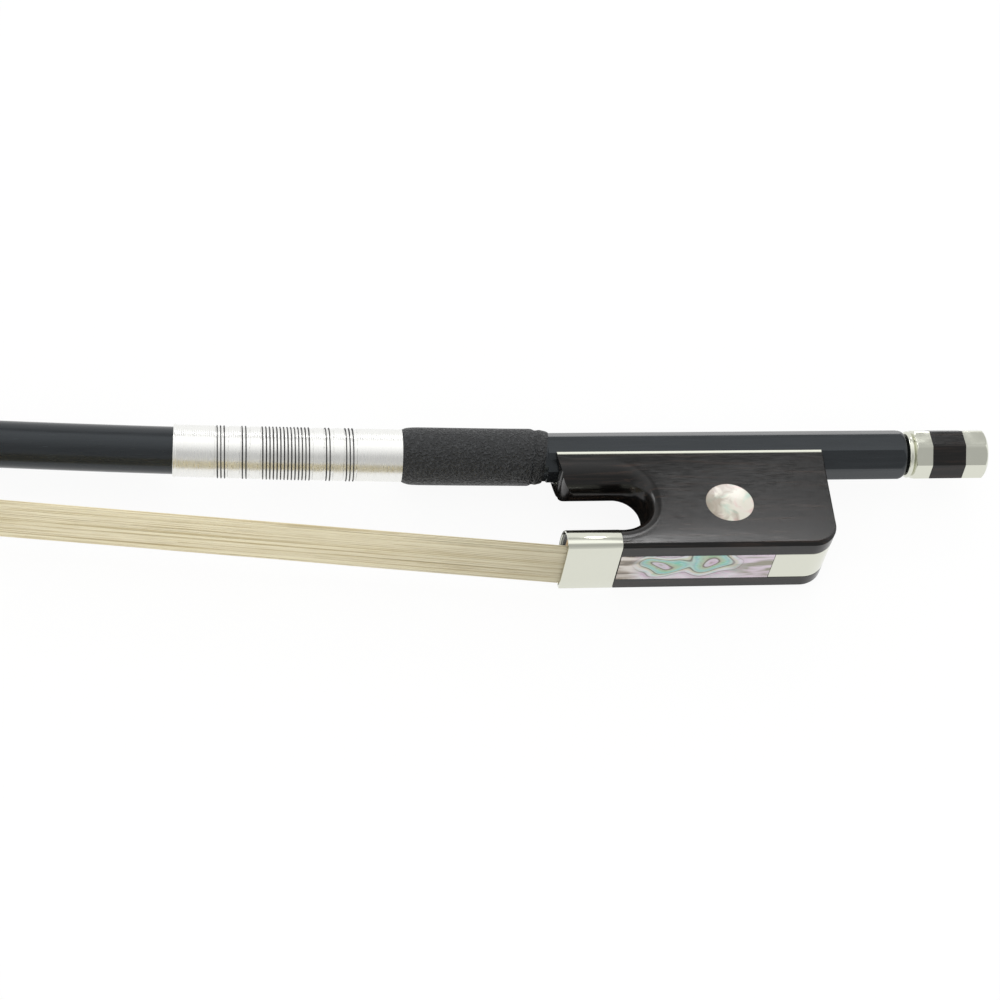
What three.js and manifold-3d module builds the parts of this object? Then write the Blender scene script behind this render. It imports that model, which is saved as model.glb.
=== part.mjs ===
import * as THREE from 'three'
import Module from 'manifold-3d'
import { mergeVertices, mergeGeometries } from 'three/addons/utils/BufferGeometryUtils.js'

// A cello bow lying on its side, slackened, as it is put away.
// X runs along the handle towards the screw button, Y from the hair towards the stick,
// Z up, across the bow. While the pieces are made, X is zero at the front edge of the frog
// and the handle's axis is the line where Y and Z are zero. All sizes are in millimetres.

// Gaps
const seatGap = 0.1
const slideGap = 0.15
const turnGap = 0.3
const cutOverrun = 4

// Fineness of round holes, pins and curved outlines, as counts
const holeSides = 16
const pinSides = 10
const screwSides = 12
const eyeSides = 28
const turnedSides = 32
const handleEndSides = 24
const curveSteps = 6
const heelSteps = 8
const archSteps = 9
const throatSteps = 12

// Stick: octagonal handle, then a round shaft that tapers and bends away from the hair
const handleFlat = 8.9
const frogRearRoom = 17.2
const handleReach = 1.4
const shaftRootDiameter = 9.15
const shaftHeadDiameter = 6.6
const shaftSpigot = 2.4
const shaftSpigotDiameter = 8.4
const camberStart = 8
const camberRise = 58.7
const camberSlope = 0.012
const camberEarlyShare = 0.5
const stickSides = 16
const shaftStations = 34
const stickEndRound = 2.6
const stickEndDrop = 0.6
const stickEndEarlyShare = 0.25
const stickEndLateShare = 0.5
const nippleDiameter = 6.4
const nippleLength = 2

// Head, measured from the place where the hair comes out of it
const hairLength = 600
const headDrop = 21.4
const headPlateLength = 25.4
const headPlateWidth = 11.2
const headPlateThickness = 0.65
const headLinerThickness = 0.4
const headMortiseFront = 9.2
const headMortiseRear = 2.1
const headMortiseDepth = 5.6
const headMortiseWidth = 7
const headShaftRear = 5
const headShaftFront = 1
const headShaftEndDiameter = 5.4
// Slices up the head: height as a share of the head's height, rear and front edges as
// shares of the plate's length, width as a share of the plate's, rear width as a share of that
const headSliceShares = [
  [0, 0, 1, 1, 0.92],
  [0.05, -0.002, 0.97, 0.97, 0.9],
  [0.15, -0.005, 0.87, 0.88, 0.88],
  [0.28, -0.014, 0.765, 0.78, 0.85],
  [0.42, -0.038, 0.665, 0.7, 0.8],
  [0.54, -0.1, 0.595, 0.65, 0.74],
  [0.64, -0.2, 0.54, 0.625, 0.6],
  [0.72, -0.32, 0.495, 0.58, 0.26],
  [0.78, -0.26, 0.45, 0.6, 0.55],
  [0.865, -0.2, 0.36, 0.59, 0.85],
  [0.935, -0.12, 0.26, 0.48, 0.75],
  [0.99, -0.1, 0.1, 0.13, 0.5]
]
// Points round half of a slice behind its rear edge: along the slice, then across it
const headRimShares = [
  [0.1, 1],
  [0.4, 0.94],
  [0.66, 0.74],
  [0.86, 0.44],
  [1, 0.12]
]
const headPlateShares = [
  [0, 1],
  [0.3, 0.97],
  [0.52, 0.86],
  [0.72, 0.66],
  [0.87, 0.43],
  [0.96, 0.24],
  [1, 0.08]
]

// Hair
const hairFrogWidth = 12.4
const hairHeadWidth = 8.8
const hairThickness = 0.8
const hairColumns = 75
const hairRows = 4
const strandFillShare = 0.78
const hairKnotHeight = 2.6
const hairKnotLength = 5.2

// Frog
const frogLength = 51.1
const frogHeight = 24.55
const frogCheek = 0.3
const frogBottomWidth = 15.5
const frogBevel = 0.75
const frogSideHollow = 0.15
const frogFrontLean = 1.4
const heelLean = 0.6
const heelRadius = 4.8
const lipDepth = 4.5
const lipCornerRadius = 2.6
const lipRound = 5.4
const lipHalfWidth = 5.3
const throatDepth = 15.5
const throatEndRadius = 4.6
const throatEndRound = 3
const throatFullness = 0.88
const throatHalfWidth = 6.1
// Places across the throat, as shares of its half width
const throatCrossShares = [0, 0.25, 0.48, 0.68, 0.84, 0.95, 1]

// Metal lining of the frog's channel
const undersideThickness = 0.45
const undersideInset = 0.2
const undersidePinDiameter = 1.6
const undersidePinLength = 2.8
const undersidePinFront = 7.6
const undersidePinRear = 7.4

// Ferrule, wedge and tongue
const ferruleLength = 10.1
const ferruleFront = 0.3
const ferruleWall = 0.5
const ferruleHeight = 6.5
const ferruleSide = 1.4
const wedgeLength = 6.4
const wedgeThickness = 1.1

// Slide of shell on its backing, and the heel plate behind it
const slideWidth = 8
const slideFlare = 0.6
const shellThickness = 1
const backingThickness = 1.2
const heelPlateReach = 12.1
const heelPlateThickness = 0.8
const heelPlateTop = 6.4
const heelPinDiameter = 1.3
const heelPinLength = 3
const heelPinUpper = 9.6
const heelPinLower = 15.4

// Hair mortise of the frog
const frogMortiseFront = 17.6
const frogMortiseRear = 25.4
const frogMortiseTop = 14.2
const frogMortiseWidth = 8.6
const hairBendEnd = 9.3

// Pearl eyes
const eyeDiameter = 9
const eyeThickness = 1.4
const eyeFromBack = 19.9
const eyeBelow = 14.35

// Eyelet and screw
const eyeletAlong = 22
const eyeletLength = 6.4
const eyeletWidth = 4.6
const eyeletHeight = 5.2
const eyeletStemDiameter = 3.2
const eyeletStemReach = 12.5
const frogTravel = 6
const screwDiameter = 3.4
const screwCoreDiameter = 2.7
const screwPitch = 0.75
const screwThreadRun = 17
const screwNose = 7.2
const tangSize = 2.4

// Button
const buttonFlat = 9.1
const buttonFrontLength = 4.5
const buttonCoreLength = 6.5
const buttonCapLength = 4.6
const buttonChamfer = 0.55
const buttonTenonDiameter = 6.6
const buttonTenonLength = 1.7
const buttonTurn = THREE.MathUtils.degToRad(8)

// Leather grip, winding and thread
const gripLength = 27.1
const gripThickness = 0.82
const gripEndLength = 3.28
// Heights of the leather in its two gathered ends: place, then height, as shares
const gripFrontShares = [[0, 0.5], [0.5, 0.9], [1, 1]]
const gripRearShares = [[0, 1], [0.75, 0.8], [1, 0.5]]
const windingLength = 42.4
const windingThickness = 0.42
const windingRecess = 0.2
const threadDiameter = 0.24
const threadPitch = 0.66
const threadLift = 0.06
const threadSteps = 16
const threadSides = 5
// Places of the five bands, back from the winding's front end, and their loops
const threadBands = [
  { name: 'thread_band_tip', place: 8.9, loops: 3 },
  { name: 'thread_pair_tip', place: 13.2, loops: 2 },
  { name: 'thread_band_middle', place: 20.9, loops: 14 },
  { name: 'thread_pair_grip', place: 28.65, loops: 2 },
  { name: 'thread_band_grip', place: 32.7, loops: 3 }
]

// Places worked out from the sizes above
const handleHalf = handleFlat / 2
const handleEnd = frogLength + frogRearRoom
const frogTopHalf = handleHalf + frogCheek
const frogBottomHalf = frogBottomWidth / 2
const slideEnd = frogLength - heelPlateReach
const eyeAlong = frogLength - eyeFromBack
const frogTop = diagonal(slideGap + undersideThickness + seatGap) - frogTopHalf
const lipBottom = -(handleHalf + lipDepth)
const ferruleTop = ferruleHeight - frogHeight
const ferruleRear = ferruleLength - ferruleFront
const hairFrogY = ferruleWall + seatGap + hairThickness / 2 - frogHeight
const hairChannelY = shellThickness + backingThickness + 3 * seatGap + hairThickness / 2 - frogHeight
const gripFront = -(handleReach + seatGap + gripLength)
const windingRear = gripFront - seatGap
const windingFront = windingRear - windingLength
const headSlope = Math.atan2(shaftCentre(-hairLength) - headDrop - hairFrogY, hairLength)
const headBase = new THREE.Vector2(
  -ferruleFront - hairLength,
  shaftCentre(headDrop * Math.sin(headSlope) - hairLength) - headDrop * Math.cos(headSlope)
)
const headSole = hairThickness / 2 + seatGap
const headHeight = headDrop + shaftHeadDiameter / 2 - headSole

const wasm = await Module()
wasm.setup()

// Distance of a slanting facet's plane, moved out by a gap, measured along Y or Z
function diagonal (out) {
  return (handleHalf + out) * Math.SQRT2
}

// Height of the shaft's axis at a place along the handle's line
function shaftCentre (x) {
  const run = Math.max(camberStart - x, 0)
  const share = run / (camberStart + hairLength)
  return camberSlope * run + camberRise * share * share * (1 + camberEarlyShare * (1 - share))
}

// Radius of the round shaft at a place along it
function shaftRadius (x) {
  const share = Math.min(Math.max(-x / hairLength, 0), 1)
  return (shaftRootDiameter + (shaftHeadDiameter - shaftRootDiameter) * share) / 2
}

// Half of the frog's width at a height
function frogHalfWidth (y) {
  const share = Math.min(Math.max((-frogTop - y) / (frogHeight - frogTop), 0), 1)
  const straight = frogTopHalf + (frogBottomHalf - frogTopHalf) * share
  return straight - frogSideHollow * 4 * share * (1 - share)
}

function toSolid (geometry) {
  const bare = geometry.clone()
  bare.deleteAttribute('normal')
  bare.deleteAttribute('uv')
  const merged = mergeVertices(bare)
  return new wasm.Manifold(new wasm.Mesh({
    numProp: 3,
    vertProperties: new Float32Array(merged.attributes.position.array),
    triVerts: new Uint32Array(merged.index.array)
  }))
}

function toGeometry (solid) {
  const mesh = solid.getMesh()
  const geometry = new THREE.BufferGeometry()
  geometry.setAttribute('position', new THREE.BufferAttribute(mesh.vertProperties, 3))
  geometry.setIndex(new THREE.BufferAttribute(mesh.triVerts, 1))
  const flat = geometry.toNonIndexed()
  flat.computeVertexNormals()
  return flat
}

function cut (geometry, ...cutters) {
  let solid = toSolid(geometry)
  for (const cutter of cutters) {
    solid = solid.subtract(toSolid(cutter))
  }
  return toGeometry(solid)
}

function join (...geometries) {
  let solid = toSolid(geometries[0])
  for (const geometry of geometries.slice(1)) {
    solid = solid.add(toSolid(geometry))
  }
  return toGeometry(solid)
}

function common (...geometries) {
  let solid = toSolid(geometries[0])
  for (const geometry of geometries.slice(1)) {
    solid = solid.intersect(toSolid(geometry))
  }
  return toGeometry(solid)
}

function boxBetween (low, high) {
  const size = high.map((value, i) => value - low[i])
  const box = new THREE.BoxGeometry(...size)
  return box.translate(...high.map((value, i) => (value + low[i]) / 2))
}

function outline (points) {
  return new THREE.Shape(points.map(([a, b]) => new THREE.Vector2(a, b)))
}

// A section in Z and Y, the same on both sides, carried along X
function alongX (points, from, to) {
  const body = new THREE.ExtrudeGeometry(outline(points), { depth: to - from, bevelEnabled: false })
  return body.rotateY(Math.PI / 2).translate(from, 0, 0)
}

// An outline in X and Y, given its thickness across the bow
function acrossZ (points, halfWidth) {
  const body = new THREE.ExtrudeGeometry(outline(points), { depth: 2 * halfWidth, bevelEnabled: false })
  return body.translate(0, 0, -halfWidth)
}

// An outline in X and Z, given its height in Y
function upY (points, from, to) {
  const body = new THREE.ExtrudeGeometry(outline(points), { depth: to - from, bevelEnabled: false })
  return body.rotateX(-Math.PI / 2).translate(0, from, 0)
}

// Both halves of a section given by its points on one side, from top to bottom
function mirrored (half) {
  return [...half, ...half.slice().reverse().map(([a, b]) => [-a, b])]
}

function rodX (diameter, from, to, sides) {
  const rod = new THREE.CylinderGeometry(diameter / 2, diameter / 2, to - from, sides)
  return rod.rotateZ(Math.PI / 2).translate((from + to) / 2, 0, 0)
}

function rodY (diameter, from, to, sides) {
  const rod = new THREE.CylinderGeometry(diameter / 2, diameter / 2, to - from, sides)
  return rod.translate(0, (from + to) / 2, 0)
}

function octagonX (flat, from, to) {
  const body = rodX(flat / Math.cos(Math.PI / 8), from, to, 8)
  return body.rotateX(Math.PI / 8)
}

// A round body on the handle's axis from its radius at places along X
function turnedX (profile, sides) {
  const points = profile.map(([x, radius]) => new THREE.Vector2(radius, x))
  return new THREE.LatheGeometry(points, sides).rotateZ(-Math.PI / 2)
}

// A closed skin through rings of points that all have the same count, with both ends filled
function skin (rings) {
  const count = rings[0].length
  const positions = []
  const middle = (ring) => ring.reduce((sum, p) => sum.add(p), new THREE.Vector3()).divideScalar(count)
  const triangle = (a, b, c) => positions.push(...a.toArray(), ...b.toArray(), ...c.toArray())
  for (let k = 0; k + 1 < rings.length; k++) {
    for (let i = 0; i < count; i++) {
      const j = (i + 1) % count
      triangle(rings[k][i], rings[k][j], rings[k + 1][j])
      triangle(rings[k][i], rings[k + 1][j], rings[k + 1][i])
    }
  }
  const first = rings[0]
  const last = rings[rings.length - 1]
  const firstMiddle = middle(first)
  const lastMiddle = middle(last)
  for (let i = 0; i < count; i++) {
    const j = (i + 1) % count
    triangle(first[j], first[i], firstMiddle)
    triangle(last[i], last[j], lastMiddle)
  }
  const geometry = new THREE.BufferGeometry()
  geometry.setAttribute('position', new THREE.Float32BufferAttribute(positions, 3))
  return facingOut(geometry)
}

// Turns every face round where the closed skin encloses a negative volume
function facingOut (geometry) {
  const p = geometry.attributes.position.array
  const corner = (i) => new THREE.Vector3(p[i], p[i + 1], p[i + 2])
  let volume = 0
  for (let i = 0; i < p.length; i += 9) {
    volume += corner(i).dot(corner(i + 3).cross(corner(i + 6)))
  }
  if (volume < 0) {
    for (let i = 0; i < p.length; i += 9) {
      for (let k = 0; k < 3; k++) {
        const keep = p[i + 3 + k]
        p[i + 3 + k] = p[i + 6 + k]
        p[i + 6 + k] = keep
      }
    }
  }
  geometry.computeVertexNormals()
  return geometry
}

// A point at an angle round the shaft's axis, at a radius, square to the bent axis
function roundShaft (x, angle, radius) {
  const step = handleHalf
  const rise = (shaftCentre(x + step) - shaftCentre(x - step)) / (2 * step)
  const along = new THREE.Vector3(1, rise, 0).normalize()
  const up = new THREE.Vector3(-along.y, along.x, 0)
  return new THREE.Vector3(x, shaftCentre(x), 0)
    .addScaledVector(up, radius * Math.cos(angle))
    .add(new THREE.Vector3(0, 0, radius * Math.sin(angle)))
}

function shaftRing (x, radius) {
  const ring = []
  for (let i = 0; i < stickSides; i++) {
    ring.push(roundShaft(x, 2 * Math.PI * i / stickSides, radius))
  }
  return ring
}

// A sleeve on the shaft: its outer and inner radius above the shaft at places along it
function shaftSleeve (outer, innerGap) {
  const first = outer[0][0]
  const last = outer[outer.length - 1][0]
  const outside = skin(outer.map(([x, height]) => shaftRing(x, shaftRadius(x) + height)))
  const places = outer.map(([x]) => x)
  places[0] = first - cutOverrun
  places[places.length - 1] = last + cutOverrun
  const inside = skin(places.map((x) => shaftRing(x, shaftRadius(x) + innerGap)))
  return cut(outside, inside)
}

// The head's own frame: along the hair towards the tip, then from the hair to the stick,
// and last across the bow, from the near side to the far side
function headFrame () {
  const along = new THREE.Vector3(-Math.cos(headSlope), Math.sin(headSlope), 0)
  const up = new THREE.Vector3(Math.sin(headSlope), Math.cos(headSlope), 0)
  const frame = new THREE.Matrix4().makeBasis(along, up, along.clone().cross(up))
  return frame.setPosition(headBase.x, headBase.y, 0)
}

function headSolid () {
  const halfWidth = headPlateWidth / 2
  const rings = headSliceShares.map(([heightShare, rearShare, frontShare, widthShare, rearWidthShare]) => {
    const rear = rearShare * headPlateLength
    const run = frontShare * headPlateLength - rear
    const half = [[0, rearWidthShare], ...headRimShares].map(([alongShare, acrossShare]) =>
      [rear + alongShare * run, acrossShare * widthShare * halfWidth])
    const round = [...half, ...half.slice().reverse().map(([a, b]) => [a, -b])]
    const height = headSole + heightShare * headHeight
    return round.map(([a, b]) => new THREE.Vector3(a, height, b))
  })
  return skin(rings).applyMatrix4(headFrame())
}

function headMortise () {
  const half = headMortiseWidth / 2
  const top = headSole + headMortiseDepth
  return boxBetween([headMortiseRear, -cutOverrun, -half], [headMortiseFront, top, half])
}

function shaftSolid () {
  const neckX = headBase.x + headDrop * Math.sin(headSlope) + headShaftRear
  const rings = [
    shaftRing(shaftSpigot, shaftSpigotDiameter / 2),
    shaftRing(-handleReach, shaftRadius(-handleReach))
  ]
  const startX = -handleReach
  for (let i = 1; i < shaftStations; i++) {
    const x = startX + (neckX - startX) * i / shaftStations
    rings.push(shaftRing(x, shaftRadius(x)))
  }
  rings.push(shaftRing(neckX, shaftHeadDiameter / 2))
  rings.push(shaftRing(neckX - headShaftRear - headShaftFront, headShaftEndDiameter / 2))
  return skin(rings)
}

function handleSolid () {
  const cornerRadius = handleHalf / Math.cos(Math.PI / 8)
  const easing = turnedX([
    [-handleReach - cutOverrun, 0],
    [-handleReach - cutOverrun, cornerRadius + seatGap],
    [handleEnd - stickEndRound, cornerRadius + seatGap],
    [handleEnd - stickEndRound / 2, cornerRadius - stickEndEarlyShare * stickEndDrop],
    [handleEnd - stickEndRound / 6, handleHalf - stickEndLateShare * stickEndDrop],
    [handleEnd, handleHalf - stickEndDrop],
    [handleEnd, 0]
  ], handleEndSides)
  return common(octagonX(handleFlat, -handleReach, handleEnd), easing)
}

function stickGeometry () {
  const boreFrom = eyeletAlong - screwNose - turnGap
  const nipple = rodX(nippleDiameter, handleEnd - cutOverrun, handleEnd + nippleLength, holeSides)
  const bore = rodX(screwDiameter + 2 * turnGap, boreFrom, handleEnd + nippleLength + cutOverrun, screwSides)
  const slotHalf = eyeletWidth / 2 + turnGap
  const slot = boxBetween(
    [eyeletAlong - eyeletLength / 2 - turnGap, -handleFlat, -slotHalf],
    [eyeletAlong + eyeletLength / 2 + frogTravel + turnGap, eyeletHeight / 2 + turnGap, slotHalf]
  )
  const whole = join(shaftSolid(), handleSolid(), nipple, headSolid())
  return cut(whole, bore, slot, headMortise().applyMatrix4(headFrame()))
}

// Plan of the head's plate, with the notch where hair and plug come through
function headPlatePlan () {
  const halfWidth = headPlateWidth / 2
  const side = headPlateShares.map(([alongShare, acrossShare]) =>
    [alongShare * headPlateLength, acrossShare * halfWidth])
  return [...side, ...side.slice().reverse().map(([a, b]) => [a, -b])]
}

function headLayer (from, thickness) {
  const hairHalf = hairHeadWidth / 2 + seatGap
  const plugHalf = headMortiseWidth / 2
  const hairEnd = headMortiseRear + hairThickness + 2 * seatGap
  return cut(
    upY(headPlatePlan(), from, from + thickness),
    boxBetween([-cutOverrun, -cutOverrun, -hairHalf], [hairEnd, cutOverrun, hairHalf]),
    boxBetween([-cutOverrun, -cutOverrun, -plugHalf], [headMortiseFront, cutOverrun, plugHalf])
  )
}

function headLinerGeometry () {
  return headLayer(headSole - seatGap - headLinerThickness, headLinerThickness)
}

function headPlateGeometry () {
  return headLayer(headSole - 2 * seatGap - headLinerThickness - headPlateThickness, headPlateThickness)
}

function headPlugGeometry () {
  const sole = headSole - 2 * seatGap - headLinerThickness - headPlateThickness
  const half = headMortiseWidth / 2 - seatGap
  const top = headSole + headMortiseDepth - hairKnotHeight - 3 * seatGap
  return boxBetween(
    [headMortiseRear + hairThickness + 2 * seatGap, sole, -half],
    [headMortiseFront - seatGap, top, half]
  )
}

function headKnotGeometry () {
  const top = headSole + headMortiseDepth - seatGap
  const half = headMortiseWidth / 2 - seatGap
  const from = headMortiseRear + hairThickness + 2 * seatGap
  return boxBetween([from, top - hairKnotHeight, -half], [from + hairKnotLength, top, half])
}

// The hair's straight strands, from the frog to the head, each of three sides
function hairStrands () {
  const lean = 1 / Math.cos(headSlope)
  const ring = (column, row, width, x, y, high) => {
    const z = ((column + 0.5) / hairColumns - 0.5) * width
    const middle = y + ((row + 0.5) / hairRows - 0.5) * hairThickness * high
    const half = strandFillShare * width / hairColumns / 2
    const tall = strandFillShare * hairThickness / hairRows / 2 * high
    return [[-half, -tall], [half, -tall], [0, tall]].map(([across, up]) =>
      new THREE.Vector3(x, middle + up, z + across))
  }
  const strands = []
  for (let column = 0; column < hairColumns; column++) {
    for (let row = 0; row < hairRows; row++) {
      strands.push(skin([
        ring(column, row, hairFrogWidth, ferruleFront + seatGap, hairFrogY, 1),
        ring(column, row, hairFrogWidth, ferruleFront, hairFrogY, 1),
        ring(column, row, hairHeadWidth, headBase.x, headBase.y, lean),
        ring(column, row, hairHeadWidth, headBase.x - seatGap, headBase.y, lean)
      ]))
    }
  }
  return mergeGeometries(strands)
}

// The hair inside the head: it lies along the sole, then turns up into the mortise
function hairInHead () {
  const thick = hairThickness / 2
  const lean = thick / Math.cos(headSlope)
  const rise = headMortiseRear + seatGap
  const top = headSole + headMortiseDepth - seatGap
  const frame = headFrame()
  const placed = (points) => points.map(([along, up]) => {
    const point = new THREE.Vector3(along, up, 0).applyMatrix4(frame)
    return [point.x, point.y]
  })
  const sole = [
    [headBase.x, headBase.y - lean],
    ...placed([[rise + hairThickness, -thick], [rise + hairThickness, thick]]),
    [headBase.x, headBase.y + lean]
  ]
  const riser = placed([
    [rise, -thick],
    [rise + hairThickness, -thick],
    [rise + hairThickness, top],
    [rise, top]
  ])
  return join(acrossZ(sole, hairHeadWidth / 2), acrossZ(riser, headMortiseWidth / 2 - seatGap))
}

// The hair inside the frog: through the ferrule, over the slide and up into the mortise
function hairInFrog () {
  const thick = hairThickness / 2
  const riseX = frogMortiseFront + seatGap
  const wide = boxBetween(
    [ferruleFront, hairFrogY - thick, -hairFrogWidth / 2],
    [wedgeLength + seatGap * 4, hairFrogY + thick, hairFrogWidth / 2]
  )
  const narrow = acrossZ([
    [wedgeLength, hairFrogY - thick],
    [hairBendEnd, hairChannelY - thick],
    [riseX + hairThickness, hairChannelY - thick],
    [riseX + hairThickness, -frogMortiseTop - seatGap],
    [riseX, -frogMortiseTop - seatGap],
    [riseX, hairChannelY + thick],
    [hairBendEnd, hairChannelY + thick],
    [wedgeLength, hairFrogY + thick]
  ], frogMortiseWidth / 2 - 2 * seatGap)
  return join(wide, narrow)
}

function hairGeometry () {
  return join(hairInFrog(), hairInHead(), hairStrands())
}

// Where the frog's leaning back is at a height
function heelBack (y) {
  return frogLength - heelLean * Math.min((-frogTop - y) / (frogHeight - frogTop - heelRadius), 1)
}

// The rounded heel in the side view, at a depth below its surface, from the bottom up
function heelArc (depth) {
  const radius = heelRadius - depth
  const points = []
  for (let i = 0; i <= heelSteps; i++) {
    const angle = Math.PI / 2 * i / heelSteps
    points.push([
      heelBack(heelRadius - frogHeight) - heelRadius + radius * Math.sin(angle),
      heelRadius - frogHeight - radius * Math.cos(angle)
    ])
  }
  return points
}

// The frog seen from the side, without its throat
function frogSideOutline () {
  return [
    [-cutOverrun, cutOverrun],
    [-cutOverrun, -frogHeight],
    ...heelArc(0),
    [heelBack(-frogTop), -frogTop],
    [heelBack(-frogTop), cutOverrun]
  ]
}

// The frog seen along the stick
function frogSection () {
  const half = [[frogTopHalf, cutOverrun]]
  for (let i = 0; i <= curveSteps; i++) {
    const y = -frogTop - (frogHeight - frogTop) * i / curveSteps
    half.push([frogHalfWidth(y), y])
  }
  const last = half.pop()
  half.push([last[0], frogBevel - frogHeight], [last[0] - frogBevel, -frogHeight])
  return mirrored(half)
}

// Where the leaning front of the lip is at a height
function lipFront (y) {
  return frogFrontLean * (-frogTop - y) / (-frogTop - lipBottom)
}

// What the leaning front of the lip and its rounded corner leave free, in the side view
function frontRoom () {
  const lean = Math.atan2(frogFrontLean, -frogTop - lipBottom)
  const centreY = lipBottom + lipCornerRadius
  const centreX = lipFront(centreY) + lipCornerRadius / Math.cos(lean)
  const middleY = (lipBottom + ferruleTop) / 2
  const points = [
    [-2 * cutOverrun, middleY],
    [-2 * cutOverrun, cutOverrun],
    [lipFront(cutOverrun), cutOverrun]
  ]
  for (let i = 0; i <= curveSteps; i++) {
    const angle = Math.PI - lean + (Math.PI / 2 + lean) * i / curveSteps
    points.push([centreX + lipCornerRadius * Math.cos(angle), centreY + lipCornerRadius * Math.sin(angle)])
  }
  points.push([centreX, middleY])
  return acrossZ(points, frogBottomWidth)
}

// How far the throat's wall falls back, and half its width, from the lip round to the tongue
function throatRounding (turn) {
  const lean = Math.abs(1 - 2 * turn)
  const outer = turn < 0.5 ? lipRound : ferruleHeight - ferruleSide
  const outerHalf = turn < 0.5 ? lipHalfWidth : frogBottomHalf
  return {
    depth: throatEndRound + (outer - throatEndRound) * lean * lean,
    half: throatHalfWidth + (outerHalf - throatHalfWidth) * lean * lean
  }
}

// The throat as a body to cut away: narrow in the middle plane and flaring to both cheeks
function throatCutter () {
  const middleY = (lipBottom + ferruleTop) / 2
  const reach = (lipBottom - ferruleTop) / 2
  const endX = throatDepth - throatEndRadius
  const frontX = -2 * cutOverrun
  const base = [{ x: frontX, y: lipBottom, nx: 0, ny: 1, turn: 0 }]
  for (let i = 0; i <= throatSteps; i++) {
    const angle = Math.PI / 2 - Math.PI * i / throatSteps
    const along = Math.max(Math.cos(angle), 0)
    const up = Math.sin(angle)
    base.push({
      x: endX + throatEndRadius * along ** throatFullness,
      y: middleY + reach * Math.sign(up) * Math.abs(up) ** throatFullness,
      nx: along,
      ny: up,
      turn: i / throatSteps
    })
  }
  base.push({ x: frontX, y: ferruleTop, nx: 0, ny: -1, turn: 1 })
  const below = throatCrossShares.slice(1).reverse().map((share) => -share)
  const signed = [...below, ...throatCrossShares]
  const ring = (share, extra) => base.map((point) => {
    const { depth, half } = throatRounding(point.turn)
    const back = depth * (1 - Math.sqrt(1 - share * share))
    const z = share * half + Math.sign(share) * extra
    return new THREE.Vector3(point.x + point.nx * back, point.y + point.ny * back, z)
  })
  const rings = signed.map((share) => ring(share, 0))
  return skin([ring(-1, cutOverrun), ...rings, ring(1, cutOverrun)])
}

// The D shape that the ferrule and the tongue share, drawn in by an inset
function ferruleSection (inset, bottom) {
  const halfWidth = frogBottomHalf - inset
  const springY = ferruleSide - frogHeight
  const arch = ferruleHeight - ferruleSide - inset
  const half = []
  for (let i = 0; i <= archSteps; i++) {
    const angle = Math.PI / 2 * i / archSteps
    half.push([halfWidth * Math.sin(angle), springY + arch * Math.cos(angle)])
  }
  half[0][0] = 0
  const above = half.filter(([, y]) => y > bottom + frogBevel)
  above.push([halfWidth, Math.max(springY - seatGap, bottom + frogBevel)])
  above.push([halfWidth, bottom + frogBevel])
  above.push([halfWidth - frogBevel, bottom])
  const unique = above.filter(([a, b], i) =>
    i === 0 || Math.hypot(a - above[i - 1][0], b - above[i - 1][1]) > seatGap / 2)
  return [...unique, ...unique.slice(1).reverse().map(([a, b]) => [-a, b])]
}

function ferruleGeometry () {
  const outside = alongX(ferruleSection(0, -frogHeight), -ferruleFront, ferruleRear)
  const inside = alongX(
    ferruleSection(ferruleWall, ferruleWall - frogHeight),
    -ferruleFront - cutOverrun,
    ferruleRear + cutOverrun
  )
  return cut(outside, inside)
}

// The wood round which the ferrule fits, above the wedge
function tongueCore () {
  const floorY = hairFrogY + hairThickness / 2 + wedgeThickness + 3 * seatGap
  const section = ferruleSection(ferruleWall + seatGap, ferruleWall - frogHeight)
  const core = alongX(section, 0, ferruleRear + cutOverrun)
  const below = boxBetween(
    [-cutOverrun, -frogHeight - cutOverrun, -frogBottomWidth],
    [ferruleRear + 2 * cutOverrun, floorY, frogBottomWidth]
  )
  return cut(core, below)
}

function ferruleRoom () {
  const room = boxBetween(
    [-2 * cutOverrun, -frogHeight - cutOverrun, -frogBottomWidth],
    [ferruleRear + seatGap, (lipBottom + ferruleTop) / 2, frogBottomWidth]
  )
  return cut(room, tongueCore())
}

function wedgeGeometry () {
  const floorY = hairFrogY + hairThickness / 2 + 2 * seatGap
  return boxBetween(
    [-ferruleFront / 2, floorY, -hairFrogWidth / 2 + seatGap],
    [wedgeLength - 2 * seatGap, floorY + wedgeThickness, hairFrogWidth / 2 - seatGap]
  )
}

// The three lower facets of the channel, moved out from the handle by a gap
function channelHalf (out, top) {
  const floor = handleHalf + out
  const slant = diagonal(out)
  return [[frogTopHalf, top ?? frogTopHalf - slant], [slant - floor, -floor]]
}

function channelCutter () {
  const out = slideGap + undersideThickness + seatGap
  const half = channelHalf(out)
  const wide = diagonal(out) - half[0][0]
  const upper = [
    [half[0][0] + cutOverrun, 2 * cutOverrun],
    [half[0][0] + cutOverrun, cutOverrun - wide]
  ]
  return alongX(mirrored([...upper, half[1]]), -2 * cutOverrun, frogLength + 2 * cutOverrun)
}

function undersideGeometry () {
  const inner = channelHalf(slideGap)
  const outer = channelHalf(slideGap + undersideThickness)
  const section = [
    inner[0],
    outer[0],
    outer[1],
    [-outer[1][0], outer[1][1]],
    [-outer[0][0], outer[0][1]],
    [-inner[0][0], inner[0][1]],
    [-inner[1][0], inner[1][1]],
    inner[1]
  ]
  const body = alongX(section, undersideInset, frogLength - undersideInset)
  const stem = rodY(eyeletStemDiameter + 2 * turnGap, -2 * handleFlat, 0, holeSides)
  stem.translate(eyeletAlong, 0, 0)
  const pins = undersidePinPlaces().map((x) =>
    rodY(undersidePinDiameter + 2 * seatGap, -2 * handleFlat, 0, pinSides).translate(x, 0, 0))
  return cut(body, stem, ...pins)
}

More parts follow.
